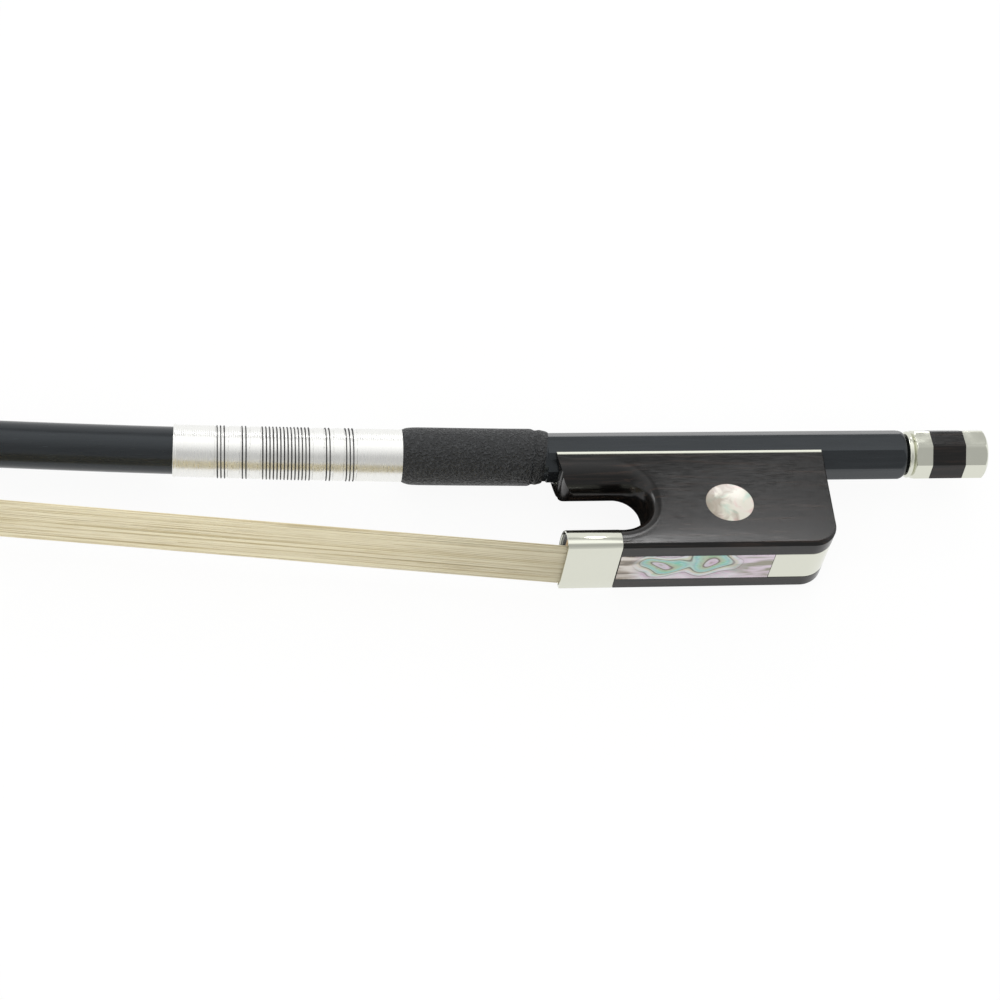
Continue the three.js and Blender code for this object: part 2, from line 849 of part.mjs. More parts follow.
function undersidePinPlaces () {
  return [undersidePinFront, frogLength - undersidePinRear]
}

function undersidePinGeometry (x) {
  const top = -(handleHalf + slideGap + seatGap)
  return rodY(undersidePinDiameter, top - undersidePinLength, top, pinSides).translate(x, 0, 0)
}

// Section of the slide's dovetail between two heights, grown by a gap
function dovetail (from, to, gap) {
  const depth = shellThickness + backingThickness + seatGap
  const halfAt = (y) => slideWidth / 2 + slideFlare * (y + frogHeight) / depth + gap
  return mirrored([[halfAt(to), to], [halfAt(from), from]])
}

function slideRoom () {
  const top = shellThickness + backingThickness + 2 * seatGap - frogHeight
  return alongX(dovetail(-frogHeight - cutOverrun, top, seatGap), 0, slideEnd)
}

function shellGeometry () {
  const top = shellThickness - frogHeight
  return alongX(dovetail(-frogHeight, top, 0), ferruleRear + 2 * seatGap, slideEnd - seatGap)
}

function backingGeometry () {
  const floor = shellThickness + seatGap - frogHeight
  return alongX(dovetail(floor, floor + backingThickness, 0), ferruleRear + 2 * seatGap, slideEnd - seatGap)
}

// The strip that runs under the heel and up its back, between two depths below the surface
function heelStrip (outerDepth, innerDepth, front, top) {
  return [
    [front, outerDepth - frogHeight],
    ...heelArc(outerDepth),
    [heelBack(top) - outerDepth, top],
    [heelBack(top) - innerDepth, top],
    ...heelArc(innerDepth).reverse(),
    [front, innerDepth - frogHeight]
  ]
}

function heelPlateGeometry () {
  const body = acrossZ(heelStrip(0, heelPlateThickness, slideEnd, -heelPlateTop), slideWidth / 2)
  return cut(body, ...[heelPinUpper, heelPinLower].map((below) => heelPinGeometry(below, seatGap)))
}

function heelRoom () {
  const depth = heelPlateThickness + seatGap
  const strip = heelStrip(-cutOverrun, depth, slideEnd - seatGap, seatGap - heelPlateTop)
  return acrossZ(strip, slideWidth / 2 + seatGap)
}

// A pin through the heel plate, or the hole for it when it is given a gap
function heelPinGeometry (below, gap) {
  const end = heelBack(-below - heelPinDiameter / 2)
  const pin = rodX(heelPinDiameter + 2 * gap, end - heelPinLength - gap, end + cutOverrun * gap, pinSides)
  return pin.translate(0, -below, 0)
}

// Disc on a cheek of the frog, leaning as the cheek leans
function eyeDisc (side, radius, from, to) {
  const step = seatGap
  const lean = (frogHalfWidth(-eyeBelow - step) - frogHalfWidth(-eyeBelow + step)) / (2 * step)
  const disc = new THREE.CylinderGeometry(radius, radius, to - from, eyeSides)
  disc.rotateX(Math.PI / 2).translate(0, 0, (from + to) / 2)
  disc.rotateX(-Math.atan(lean)).translate(eyeAlong, -eyeBelow, frogHalfWidth(-eyeBelow))
  return side > 0 ? disc : disc.rotateY(Math.PI).translate(2 * eyeAlong, 0, 0)
}

function hairChannel () {
  const thick = hairThickness / 2 + 2 * seatGap
  return acrossZ([
    [wedgeLength - 2 * seatGap, hairFrogY - thick],
    [hairBendEnd - seatGap, hairChannelY - 2 * thick],
    [frogMortiseFront + seatGap, hairChannelY - 2 * thick],
    [frogMortiseFront + seatGap, hairChannelY + thick],
    [hairBendEnd - seatGap, hairChannelY + thick],
    [wedgeLength - 2 * seatGap, hairFrogY + thick + hairThickness]
  ], frogMortiseWidth / 2)
}

function frogMortise () {
  return boxBetween(
    [frogMortiseFront, shellThickness + backingThickness - frogHeight, -frogMortiseWidth / 2],
    [frogMortiseRear, -frogMortiseTop, frogMortiseWidth / 2]
  )
}

function frogGeometry () {
  const block = common(
    alongX(frogSection(), -cutOverrun, frogLength + cutOverrun),
    acrossZ(frogSideOutline(), frogBottomWidth)
  )
  const eyes = [1, -1].map((side) =>
    eyeDisc(side, eyeDiameter / 2 + seatGap, -eyeThickness - seatGap, cutOverrun))
  const stem = rodY(eyeletStemDiameter + 2 * turnGap, -eyeletStemReach - turnGap, 0, holeSides)
  stem.translate(eyeletAlong, 0, 0)
  const pinTop = -(handleHalf + slideGap + 2 * seatGap)
  const undersidePins = undersidePinPlaces().map((x) =>
    rodY(undersidePinDiameter + 2 * seatGap, pinTop - undersidePinLength, 0, pinSides).translate(x, 0, 0))
  const heelPins = [heelPinUpper, heelPinLower].map((below) => heelPinGeometry(below, seatGap))
  return cut(
    block,
    frontRoom(),
    throatCutter(),
    channelCutter(),
    ferruleRoom(),
    slideRoom(),
    heelRoom(),
    frogMortise(),
    hairChannel(),
    stem,
    ...eyes,
    ...undersidePins,
    ...heelPins
  )
}

function frogPlugGeometry () {
  const half = frogMortiseWidth / 2 - 2 * seatGap
  const floor = shellThickness + backingThickness + 3 * seatGap - frogHeight
  return boxBetween(
    [frogMortiseFront + hairThickness + 3 * seatGap, floor, -half],
    [frogMortiseRear - seatGap, -frogMortiseTop - hairKnotHeight - 3 * seatGap, half]
  )
}

function frogKnotGeometry () {
  const half = frogMortiseWidth / 2 - 2 * seatGap
  const from = frogMortiseFront + hairThickness + 3 * seatGap
  const top = -frogMortiseTop - seatGap
  return boxBetween([from, top - hairKnotHeight, -half], [from + hairKnotLength, top, half])
}

function eyeletGeometry () {
  const block = boxBetween(
    [eyeletAlong - eyeletLength / 2, -eyeletHeight / 2, -eyeletWidth / 2],
    [eyeletAlong + eyeletLength / 2, eyeletHeight / 2, eyeletWidth / 2]
  )
  const stem = rodY(eyeletStemDiameter, -eyeletStemReach, 0, screwSides).translate(eyeletAlong, 0, 0)
  const bore = rodX(screwDiameter + 2 * slideGap, -cutOverrun, frogLength, holeSides)
  return cut(join(block, stem), bore)
}

// Steel screw: nose, threaded stretch, plain rod and square tang
function screwGeometry () {
  const noseX = eyeletAlong - screwNose
  const threadX = eyeletAlong - eyeletLength / 2 - 2 * screwPitch
  const turns = Math.round(screwThreadRun / screwPitch)
  const tangFrom = buttonWebEnd() - buttonTenonLength
  const profile = [[noseX, 0], [noseX, screwCoreDiameter / 2], [threadX, screwCoreDiameter / 2]]
  for (let i = 0; i < turns; i++) {
    profile.push([threadX + (i + 0.5) * screwPitch, screwDiameter / 2])
    profile.push([threadX + (i + 1) * screwPitch, screwCoreDiameter / 2])
  }
  profile.push([threadX + (turns + 1) * screwPitch, screwDiameter / 2])
  profile.push([tangFrom - seatGap, screwDiameter / 2])
  profile.push([tangFrom - seatGap, 0])
  const tang = boxBetween(
    [tangFrom - buttonTenonLength, -tangSize / 2, -tangSize / 2],
    [buttonCoreEnd() + buttonTenonLength / 2, tangSize / 2, tangSize / 2]
  )
  return join(turnedX(profile, pinSides), tang)
}

// Places of the button's pieces along the handle's line
function buttonStart () {
  return handleEnd + turnGap
}

function buttonWebEnd () {
  return buttonStart() + buttonFrontLength
}

function buttonCoreEnd () {
  return buttonWebEnd() + buttonCoreLength
}

// An eight-sided body whose corners are turned off at its ends
function chamferedOctagon (from, to, chamferFrom, chamferTo) {
  const corner = buttonFlat / 2 / Math.cos(Math.PI / 8)
  const profile = [
    [from, 0],
    [from, corner - chamferFrom],
    [from + chamferFrom, corner + seatGap],
    [to - chamferTo, corner + seatGap],
    [to, corner - chamferTo],
    [to, 0]
  ]
  return common(octagonX(buttonFlat, from, to), turnedX(profile, turnedSides))
}

function buttonFrontGeometry () {
  const from = buttonStart()
  const to = buttonWebEnd()
  return cut(
    chamferedOctagon(from, to, buttonChamfer, seatGap),
    rodX(nippleDiameter + 2 * turnGap, from - cutOverrun, from + nippleLength, holeSides),
    rodX(screwDiameter + 2 * slideGap, from, to, screwSides),
    rodX(buttonTenonDiameter + 2 * seatGap, to - buttonTenonLength - seatGap, to + cutOverrun, holeSides)
  )
}

function buttonCoreGeometry () {
  const from = buttonWebEnd() + seatGap / 2
  const to = buttonCoreEnd() - seatGap / 2
  const body = join(
    chamferedOctagon(from, to, seatGap, seatGap),
    rodX(buttonTenonDiameter, from - buttonTenonLength, to + buttonTenonLength, holeSides)
  )
  const hole = tangSize / 2 + seatGap
  return cut(body, boxBetween([from - cutOverrun, -hole, -hole], [to + cutOverrun, hole, hole]))
}

function buttonCapGeometry () {
  const from = buttonCoreEnd()
  const to = from + buttonCapLength
  return cut(
    chamferedOctagon(from, to, seatGap, buttonChamfer),
    rodX(buttonTenonDiameter + 2 * seatGap, from - cutOverrun, from + buttonTenonLength + seatGap, holeSides)
  )
}

function gripGeometry () {
  const rear = gripFront + gripLength - gripEndLength
  const placed = (from, shares) => shares.map(([alongShare, heightShare]) =>
    [from + alongShare * gripEndLength, heightShare * gripThickness])
  const middle = [gripFront + gripLength / 2, gripThickness]
  const outer = [...placed(gripFront, gripFrontShares), middle, ...placed(rear, gripRearShares)]
  return shaftSleeve(outer, seatGap)
}

// The winding's sleeve, with a shallow bed under each band of thread
function windingGeometry () {
  const bed = windingThickness - windingRecess
  const outer = [[windingFront, windingThickness]]
  for (const band of threadBands) {
    const from = windingFront + band.place - band.loops * threadPitch / 2 - threadDiameter
    const to = windingFront + band.place + band.loops * threadPitch / 2 + threadDiameter
    outer.push([from - seatGap / 2, windingThickness], [from, bed])
    outer.push([to, bed], [to + seatGap / 2, windingThickness])
  }
  outer.push([windingRear, windingThickness])
  return shaftSleeve(outer, seatGap)
}

// Middle of a thread at a count of turns from its band's first end
function threadPoint (band, turn) {
  const x = windingFront + band.place + (turn - band.loops / 2) * threadPitch
  const height = windingThickness - windingRecess + threadLift + threadDiameter / 2
  return roundShaft(x, 2 * Math.PI * turn, shaftRadius(x) + height)
}

function threadGeometry (band) {
  const rings = []
  const count = band.loops * threadSteps
  for (let i = 0; i <= count; i++) {
    const turn = i / threadSteps
    const middle = threadPoint(band, turn)
    const x = windingFront + band.place + (turn - band.loops / 2) * threadPitch
    const out = roundShaft(x, 2 * Math.PI * turn, shaftRadius(x) + threadDiameter)
      .sub(roundShaft(x, 2 * Math.PI * turn, shaftRadius(x))).normalize()
    const along = new THREE.Vector3(1, 0, 0)
    const ring = []
    for (let side = 0; side < threadSides; side++) {
      const angle = 2 * Math.PI * side / threadSides
      ring.push(middle.clone()
        .addScaledVector(out, threadDiameter / 2 * Math.cos(angle))
        .addScaledVector(along, threadDiameter / 2 * Math.sin(angle)))
    }
    rings.push(ring)
  }
  return skin(rings)
}

// Least gap of a thread to its own next loops, measured between points on its middle line
function leastThreadGap (band) {
  const count = band.loops * threadSteps
  let least = Infinity
  for (let i = 0; i <= count; i++) {
    for (let j = i + threadSteps / 2; j <= count; j++) {
      const distance = threadPoint(band, i / threadSteps).distanceTo(threadPoint(band, j / threadSteps))
      least = Math.min(least, distance - threadDiameter)
    }
  }
  return least
}

// Finishes
function finish (color, roughness, metalness) {
  return new THREE.MeshStandardMaterial({ color, roughness, metalness })
}

const finishes = {
  stick: () => finish('#1b1d1f', 0.3, 0),
  ebony: () => finish('#2b2725', 0.42, 0),
  nickelSilver: () => finish('#c9c7ba', 0.25, 1),
  steel: () => finish('#a9a9a6', 0.35, 1),
  brass: () => finish('#b79a55', 0.35, 1),
  pearl: () => finish('#e4ddd0', 0.2, 0),
  shell: () => finish('#a9c4bd', 0.18, 0),
  hair: () => finish('#d9cfae', 0.6, 0),
  leather: () => finish('#2e2f31', 0.55, 0),
  winding: () => finish('#d5d5d3', 0.28, 1),
  thread: () => finish('#161616', 0.8, 0),
  wood: () => finish('#c8a878', 0.7, 0),
  liner: () => finish('#191817', 0.5, 0)
}

function piece (parent, name, geometry, material) {
  const mesh = new THREE.Mesh(geometry, material)
  mesh.name = name
  parent.add(mesh)
}

function fillStick (group) {
  piece(group, 'stick', stickGeometry(), finishes.stick())
  piece(group, 'leather_grip', gripGeometry(), finishes.leather())
  piece(group, 'winding_sleeve', windingGeometry(), finishes.winding())
  for (const band of threadBands) {
    piece(group, band.name, threadGeometry(band), finishes.thread())
    if (band.loops > 1) {
      console.log(`${band.name} least gap to itself ${leastThreadGap(band).toFixed(3)} mm`)
    }
  }
  piece(group, 'hair', hairGeometry(), finishes.hair())
}

function fillHead (group) {
  piece(group, 'head_liner', headLinerGeometry(), finishes.liner())
  piece(group, 'head_plate', headPlateGeometry(), finishes.nickelSilver())
  piece(group, 'head_plug', headPlugGeometry(), finishes.wood())
  piece(group, 'head_hair_knot', headKnotGeometry(), finishes.hair())
  group.applyMatrix4(headFrame())
}

function fillFrog (group) {
  piece(group, 'frog_body', frogGeometry(), finishes.ebony())
  piece(group, 'underslide', undersideGeometry(), finishes.nickelSilver())
  undersidePinPlaces().forEach((x, i) => {
    piece(group, `underslide_pin_${i + 1}`, undersidePinGeometry(x), finishes.nickelSilver())
  })
  piece(group, 'eyelet', eyeletGeometry(), finishes.brass())
  piece(group, 'ferrule', ferruleGeometry(), finishes.nickelSilver())
  piece(group, 'ferrule_wedge', wedgeGeometry(), finishes.wood())
  piece(group, 'frog_plug', frogPlugGeometry(), finishes.wood())
  piece(group, 'frog_hair_knot', frogKnotGeometry(), finishes.hair())
  piece(group, 'slide_shell', shellGeometry(), finishes.shell())
  piece(group, 'slide_backing', backingGeometry(), finishes.ebony())
  piece(group, 'heel_plate', heelPlateGeometry(), finishes.nickelSilver())
  piece(group, 'heel_pin_upper', heelPinGeometry(heelPinUpper, 0), finishes.nickelSilver())
  piece(group, 'heel_pin_lower', heelPinGeometry(heelPinLower, 0), finishes.nickelSilver())
  piece(group, 'eye_near', eyeDisc(1, eyeDiameter / 2, -eyeThickness, 0), finishes.pearl())
  piece(group, 'eye_far', eyeDisc(-1, eyeDiameter / 2, -eyeThickness, 0), finishes.pearl())
}

function fillButton (group) {
  piece(group, 'screw', screwGeometry(), finishes.steel())
  piece(group, 'button_front', buttonFrontGeometry(), finishes.nickelSilver())
  piece(group, 'button_core', buttonCoreGeometry(), finishes.ebony())
  piece(group, 'button_cap', buttonCapGeometry(), finishes.nickelSilver())
  group.rotation.x = -buttonTurn
}

const group = new THREE.Group()
const assembly = new THREE.Group()
group.add(assembly)
for (const fill of [fillStick, fillHead, fillFrog, fillButton]) {
  const section = new THREE.Group()
  fill(section)
  assembly.add(section)
}

// The origin goes to the middle of the box's bottom face
group.updateMatrixWorld(true)
const box = new THREE.Box3().setFromObject(assembly, true)
assembly.position.set(-(box.min.x + box.max.x) / 2, -(box.min.y + box.max.y) / 2, -box.min.z)
group.updateMatrixWorld(true)

export default group
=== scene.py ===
from types import SimpleNamespace

import bmesh
import bpy
import numpy as np
from mathutils import Matrix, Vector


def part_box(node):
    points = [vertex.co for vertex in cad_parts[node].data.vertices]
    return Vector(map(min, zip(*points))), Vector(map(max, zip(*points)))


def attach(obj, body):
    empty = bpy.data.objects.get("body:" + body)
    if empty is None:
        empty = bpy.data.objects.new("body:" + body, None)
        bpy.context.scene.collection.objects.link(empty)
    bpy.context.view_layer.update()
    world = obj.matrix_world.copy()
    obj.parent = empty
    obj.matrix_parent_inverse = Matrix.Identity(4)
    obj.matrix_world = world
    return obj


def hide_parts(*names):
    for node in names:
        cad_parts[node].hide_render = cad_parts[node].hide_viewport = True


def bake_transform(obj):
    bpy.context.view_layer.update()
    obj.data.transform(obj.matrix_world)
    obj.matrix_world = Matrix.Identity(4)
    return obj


# The looks of a cello bow that lies on its side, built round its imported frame.
# Sizes are in millimetres while a shape is worked out. X runs along the handle to the screw
# button, Y from the hair to the stick and Z up, across the bow. X is zero at the front of the
# frog, and Y and Z are zero on the handle's axis, as in the part's source.

bl_info = {
    "name": "Cello bow",
    "version": (1, 0, 0),
    "blender": (4, 5, 0),
    "location": "View3D > Sidebar > Bow",
    "description": "Builds the surfaces and finishes of a cello bow round its frame",
    "category": "Add Mesh",
}

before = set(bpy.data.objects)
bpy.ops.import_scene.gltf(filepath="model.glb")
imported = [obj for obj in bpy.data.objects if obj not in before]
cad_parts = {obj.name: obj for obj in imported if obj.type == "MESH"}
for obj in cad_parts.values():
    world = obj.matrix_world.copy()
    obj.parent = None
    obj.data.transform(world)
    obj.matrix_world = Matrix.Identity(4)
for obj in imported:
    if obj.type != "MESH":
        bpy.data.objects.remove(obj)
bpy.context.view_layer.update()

MM = 0.001
# Clearance between pieces that lie on each other
GAP = 0.1
# How far the ferrule stands out in front of the frog
FERRULE_FRONT = 0.3
ferrule_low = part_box("ferrule")[0]
cap_low, cap_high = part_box("button_cap")
# Where the handle's axis meets the front of the frog, in millimetres of the frame
ORIGIN = np.array([ferrule_low.x, (cap_low.y + cap_high.y) / 2, (cap_low.z + cap_high.z) / 2]) / MM
ORIGIN[0] += FERRULE_FRONT


# Sizes and colours that a user would change


def linear(code):
    """An sRGB hex colour as linear red, green and blue."""
    value = np.array([int(code[i : i + 2], 16) for i in (1, 3, 5)]) / 255
    return np.where(value <= 0.04045, value / 12.92, ((value + 0.055) / 1.055) ** 2.4)


def length(name, size, text):
    """A length in the sidebar, given in millimetres and kept in metres."""
    return bpy.props.FloatProperty(
        name=name, description=text, default=size * MM, unit="LENGTH", precision=5
    )


def colour(name, code, text):
    """A colour in the sidebar, given as an sRGB hex value."""
    return bpy.props.FloatVectorProperty(
        name=name, description=text, default=linear(code).tolist(), subtype="COLOR", min=0, max=1
    )


class StickSizes(bpy.types.PropertyGroup):
    handle_flat: length("Handle", 8.9, "Across the flats of the eight-sided handle")
    handle_end: length("Handle end", 68.3, "From the frog's front to the end of the stick")
    handle_reach: length("Handle reach", 1.4, "Octagon in front of the frog")
    end_round: length("End rounding", 2.6, "Length over which the stick's end is rounded")
    end_drop: length("End drop", 0.6, "How far the end lies inside the flats")
    nipple: length("Nipple", 6.4, "Diameter of the spigot inside the button")
    nipple_length: length("Nipple length", 2.0, "Length of that spigot")
    bore: length("Bore", 4.0, "Diameter of the bore for the screw")
    bore_from: length("Bore from", 14.5, "Front end of the bore")
    root: length("Shaft root", 9.15, "Diameter of the shaft behind the grip")
    tip: length("Shaft tip", 6.6, "Diameter of the shaft behind the head")
    camber_start: length("Camber start", 8.0, "Where the stick starts to bend")
    camber_rise: length("Camber rise", 58.7, "Rise of the bend at the head")


class HeadSizes(bpy.types.PropertyGroup):
    drop: length("Head drop", 21.4, "From the stick's axis to the hair at the head")
    plate: length("Face plate", 25.4, "Length of the face plate")
    plate_width: length("Face plate width", 11.2, "Width of the face plate")
    plate_thickness: length("Face plate thickness", 0.65, "Thickness of the face plate")
    liner_thickness: length("Liner thickness", 0.4, "Thickness of the liner under it")
    mortise_front: length("Mortise front", 9.2, "Front end of the hair mortise")
    mortise_rear: length("Mortise rear", 2.1, "Rear end of the hair mortise")
    mortise_width: length("Mortise width", 7.0, "Width of the hair mortise")


class HairSizes(bpy.types.PropertyGroup):
    free: length("Free hair", 600.0, "Length of hair between ferrule and head")
    frog_width: length("Width at the frog", 12.4, "Width of the ribbon at the ferrule")
    head_width: length("Width at the head", 8.8, "Width of the ribbon at the head")
    thickness: length("Thickness", 0.8, "Thickness of the ribbon")
    strand: length("Strand", 0.19, "Thickness of one drawn strand")


class FrogSizes(bpy.types.PropertyGroup):
    length: length("Frog length", 51.1, "Length of the frog along its top")
    height: length("Frog height", 24.55, "From the handle's axis to the frog's underside")
    top_half: length("Half top width", 4.75, "Half of the frog's width at its top edge")
    top: length("Top edge", 2.533, "Drop of the cheeks' top edge below the axis")
    channel: length("Channel floor", 5.15, "Drop of the channel's floor below the axis")
    bottom_width: length("Bottom width", 15.5, "Width of the frog at its underside")
    bevel: length("Bevel", 0.75, "Bevel along the underside and the heel")
    hollow: length("Side hollow", 0.15, "How far the cheeks are hollowed")
    front_lean: length("Front lean", 1.4, "How far the lip's front leans back")
    heel_lean: length("Heel lean", 0.6, "How far the back leans forward at the heel")
    heel_radius: length("Heel radius", 4.8, "Radius of the heel")
    lip_bottom: length("Lip", 8.95, "Drop of the lip's underside below the axis")
    lip_corner: length("Lip corner", 2.6, "Radius of the lip's lower corner")
    lip_round: length("Lip rounding", 5.4, "Height over which the lip is rounded")
    throat_depth: length("Throat depth", 15.5, "From the frog's front to the throat's end")
    throat_radius: length("Throat radius", 4.6, "Length of the throat's rounded end")
    throat_round: length("Throat rounding", 3.0, "Depth of the roll at the throat's end")
    ferrule_length: length("Ferrule length", 10.1, "Length of the ferrule")
    ferrule_height: length("Ferrule height", 6.5, "Height of the ferrule")
    ferrule_side: length("Ferrule side", 1.4, "Height of the ferrule's upright sides")
    ferrule_wall: length("Ferrule wall", 0.5, "Thickness of the ferrule's metal")
    slide_width: length("Slide width", 8.0, "Width of the slide and the heel plate")
    slide_end: length("Slide end", 39.0, "Where the slide meets the heel plate")
    plate_thickness: length("Heel plate", 0.8, "Thickness of the heel plate")
    plate_top: length("Heel plate top", 6.4, "Drop of the heel plate's top end")
    eye: length("Eye", 9.0, "Diameter of the pearl eyes")
    eye_along: length("Eye along", 31.2, "From the frog's front to the eyes' middle")
    eye_below: length("Eye below", 14.35, "Drop of the eyes' middle below the axis")


class ButtonSizes(bpy.types.PropertyGroup):
    flat: length("Button", 9.1, "Across the flats of the button")
    start: length("Button start", 68.6, "Front end of the button")
    front: length("Front part", 4.5, "Length of the front metal part")
    core: length("Core", 6.5, "Length of the wooden part")
    cap: length("Cap", 4.6, "Length of the metal cap")
    chamfer: length("Chamfer", 0.9, "Length of the cap's turned chamfer")


class GripSizes(bpy.types.PropertyGroup):
    grip: length("Grip", 27.1, "Length of the leather grip")
    leather: length("Leather", 0.82, "Thickness of the leather")
    winding: length("Winding", 42.4, "Length of the wire winding")
    wire: length("Wire", 0.42, "Height of the winding over the stick")
    wire_pitch: length("Wire pitch", 0.34, "Step of the wire, as coarse as it has to be to show")
    thread: length("Thread", 0.23, "Diameter of the thread")
    thread_pitch: length("Thread pitch", 0.66, "Step of the thread")


class BowColours(bpy.types.PropertyGroup):
    carbon: colour("Carbon", "#1c1e20", "Lacquered carbon of the stick")
    ebony: colour("Ebony", "#0e0d0c", "Ebony of frog and button")
    ebony_streak: colour("Ebony streak", "#33261f", "Brown streaks in the ebony")
    nickel: colour("Nickel silver", "#d9dacd", "Polished mounts")
    silver: colour("Silver", "#f1f1ee", "Silver wire of the winding")
    leather: colour("Leather", "#333537", "Leather of the grip")
    thread: colour("Thread", "#121212", "Thread of the winding")
    hair: colour("Horsehair", "#f0e6c8", "Bleached horsehair")
    hair_dark: colour("Dark strands", "#d3c49c", "Darker strands among it")
    pearl: colour("Pearl", "#dbd6ca", "Mother of pearl of the eyes")
    shell_lilac: colour("Shell lilac", "#b5a0b0", "Lilac parts of the abalone")
    shell_green: colour("Shell green", "#76b58a", "Green parts of the abalone")
    shell_teal: colour("Shell teal", "#62bdb8", "Teal parts of the abalone")
    shell_line: colour("Shell lines", "#4f4536", "Growth lines of the abalone")


GROUPS = {
    "stick": StickSizes,
    "head": HeadSizes,
    "hair": HairSizes,
    "frog": FrogSizes,
    "button": ButtonSizes,
    "grip": GripSizes,
    "colours": BowColours,
}


def settings(name, unit=1):
    """What one group of the sidebar holds, in a unit."""
    group = getattr(bpy.context.scene, "bow_" + name)
    keys = GROUPS[name].__annotations__
    return SimpleNamespace(**{key: np.array(getattr(group, key)) / unit for key in keys})


def sizes():
    """All sizes of the bow in millimetres, by group."""
    return SimpleNamespace(**{name: settings(name, MM) for name in GROUPS if name != "colours"})


# Meshes from grids

# Evenly spaced values from a start to an end
steps = np.linspace


def ring_angles(count):
    """Evenly spaced angles round one turn."""
    return 2 * np.pi * np.arange(count) / count


def grid(*parts):
    """Points on the last axis, from coordinates that broadcast to one shape."""
    return np.stack(np.broadcast_arrays(*parts), -1)


def through(table, count):
    """A smooth curve through the rows of a table, as count rows: a Catmull-Rom spline."""
    table = np.asarray(table, float)
    padded = np.vstack([2 * table[0] - table[1], table, 2 * table[-1] - table[-2]])
    t = steps(0, len(table) - 1, count)
    i = np.minimum(t.astype(int), len(table) - 2)
    u = (t - i)[:, None]
    a, b, c, d = padded[i], padded[i + 1], padded[i + 2], padded[i + 3]
    bend = (2 * a - 5 * b + 4 * c - d) * u**2 + (3 * b - a - 3 * c + d) * u**3
    return 0.5 * (2 * b + (c - a) * u + bend)


def grid_cells(rows, columns, close_rows=False, close_columns=False):
    """Corners of the cells of a grid whose points are numbered row by row."""
    i = np.arange(rows if close_rows else rows - 1)[:, None]
    j = np.arange(columns if close_columns else columns - 1)
    below, beside = (i + 1) % rows, (j + 1) % columns
    corners = (i * columns + j, i * columns + beside, below * columns + beside, below * columns + j)
    return grid(*corners).reshape(-1, 4)


def patch(points, close_rows=False, close_columns=False):
    """A grid of points, rows by columns by 3, as a list of points and of cells."""
    rows, columns = points.shape[:2]
    return points.reshape(-1, 3), grid_cells(rows, columns, close_rows, close_columns)


def capped(points):
    """A tube of closed rings with each end drawn in to the middle of its ring."""
    ends = np.repeat(points[[0, -1]].mean(1, keepdims=True), points.shape[1], 1)
    return patch(np.concatenate([ends[:1], points, ends[1:]]), close_columns=True)


def solid(name, points, faces, closed=True):
    """A mesh object from points in the bow's millimetres; a closed one has its faces outwards."""
    mesh = bpy.data.meshes.new(name)
    mesh.from_pydata((points + ORIGIN) * MM, [], faces)
    if closed:
        shell = bmesh.new()
        shell.from_mesh(mesh)
        bmesh.ops.recalc_face_normals(shell, faces=shell.faces)
        shell.to_mesh(mesh)
        shell.free()
    mesh.update()
    made = bpy.data.objects.new(name, mesh)
    bpy.context.scene.collection.objects.link(made)
    return made


def piece(name, patches, *worn, sharp=35.0):
    """A mesh object made of patches whose shared points are welded, with what it wears.

    Points that round to the same thousandth of a millimetre become one, cells that lose
    corners become triangles or go, and edges that turn by more than sharp degrees stay crisp.
    """
    starts = np.cumsum([0, *(len(points) for points, _ in patches[:-1])])
    points = np.concatenate([points for points, _ in patches])
    cells = np.concatenate([cells + k for (_, cells), k in zip(patches, starts, strict=True)])
    _, first, inverse = np.unique(
        np.round(points, 3), axis=0, return_index=True, return_inverse=True
    )
    cells = inverse.reshape(-1)[cells]
    cells = cells[(cells[:, 0] != cells[:, 2]) & (cells[:, 1] != cells[:, 3])]
    same = cells == np.roll(cells, -1, axis=1)
    lost = same.sum(1)
    triangles = cells[lost == 1][~same[lost == 1]].reshape(-1, 3)
    made = solid(name, points[first], [*cells[lost == 0].tolist(), *triangles.tolist()])
    made.data.polygons.foreach_set("use_smooth", np.ones(len(made.data.polygons), bool))
    made.data.set_sharp_from_angle(angle=np.radians(sharp))
    return wear(made, *worn)


def wear(made, material, body, node, slot):
    """Gives a piece its material and its body, and hides the node of the frame that it stands for; the
    slot is not used.
    """
    made.data.materials.append(material)
    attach(made, body)
    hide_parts(node)


def finish_node(node, material):
    """Puts a material on a node of the frame, whose shape stays."""
    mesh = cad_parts[node].data
    mesh.materials.clear()
    mesh.materials.append(material)


# Lines that several pieces follow


def shaft_height(s, x):
    """Height of the bent shaft's axis: a slight slope and a rise that grows with the square."""
    slope = 0.012
    run = np.maximum(s.stick.camber_start - x, 0)
    share = run / (s.stick.camber_start + s.hair.free)
    return slope * run + s.stick.camber_rise * share**2 * (1 + 0.5 * (1 - share))


def shaft_radius(s, x):
    """Radius of the shaft, which tapers evenly from the frog to the head."""
    share = np.clip(-x / s.hair.free, 0, 1)
    return (s.stick.root + (s.stick.tip - s.stick.root) * share) / 2


def on_shaft(s, x, angle, radius):
    """Points at an angle round the shaft's axis, at a radius, square to the bent axis."""
    step = s.stick.handle_flat / 2
    rise = (shaft_height(s, x + step) - shaft_height(s, x - step)) / (2 * step)
    size = np.sqrt(1 + rise**2)
    out = radius * np.cos(angle)
    return grid(x - out * rise / size, shaft_height(s, x) + out / size, radius * np.sin(angle))


def round_handle(x, radius, angle):
    """Points at an angle round the handle's axis, at a radius."""
    return grid(x, radius * np.cos(angle), radius * np.sin(angle))


def octagon(flat, angle, ease=70):
    """Distance to the side of an octagon with slightly eased corners.

    It is half the flat over the high-power mean of the eight facets' cosines, so the facets
    stay flat and only the corners draw in.
    """
    facets = np.pi / 4 * np.arange(8)
    cosine = np.maximum(np.cos(angle[..., None] - facets), 0)
    return flat / 2 / np.sum(cosine**ease, -1) ** (1 / ease)


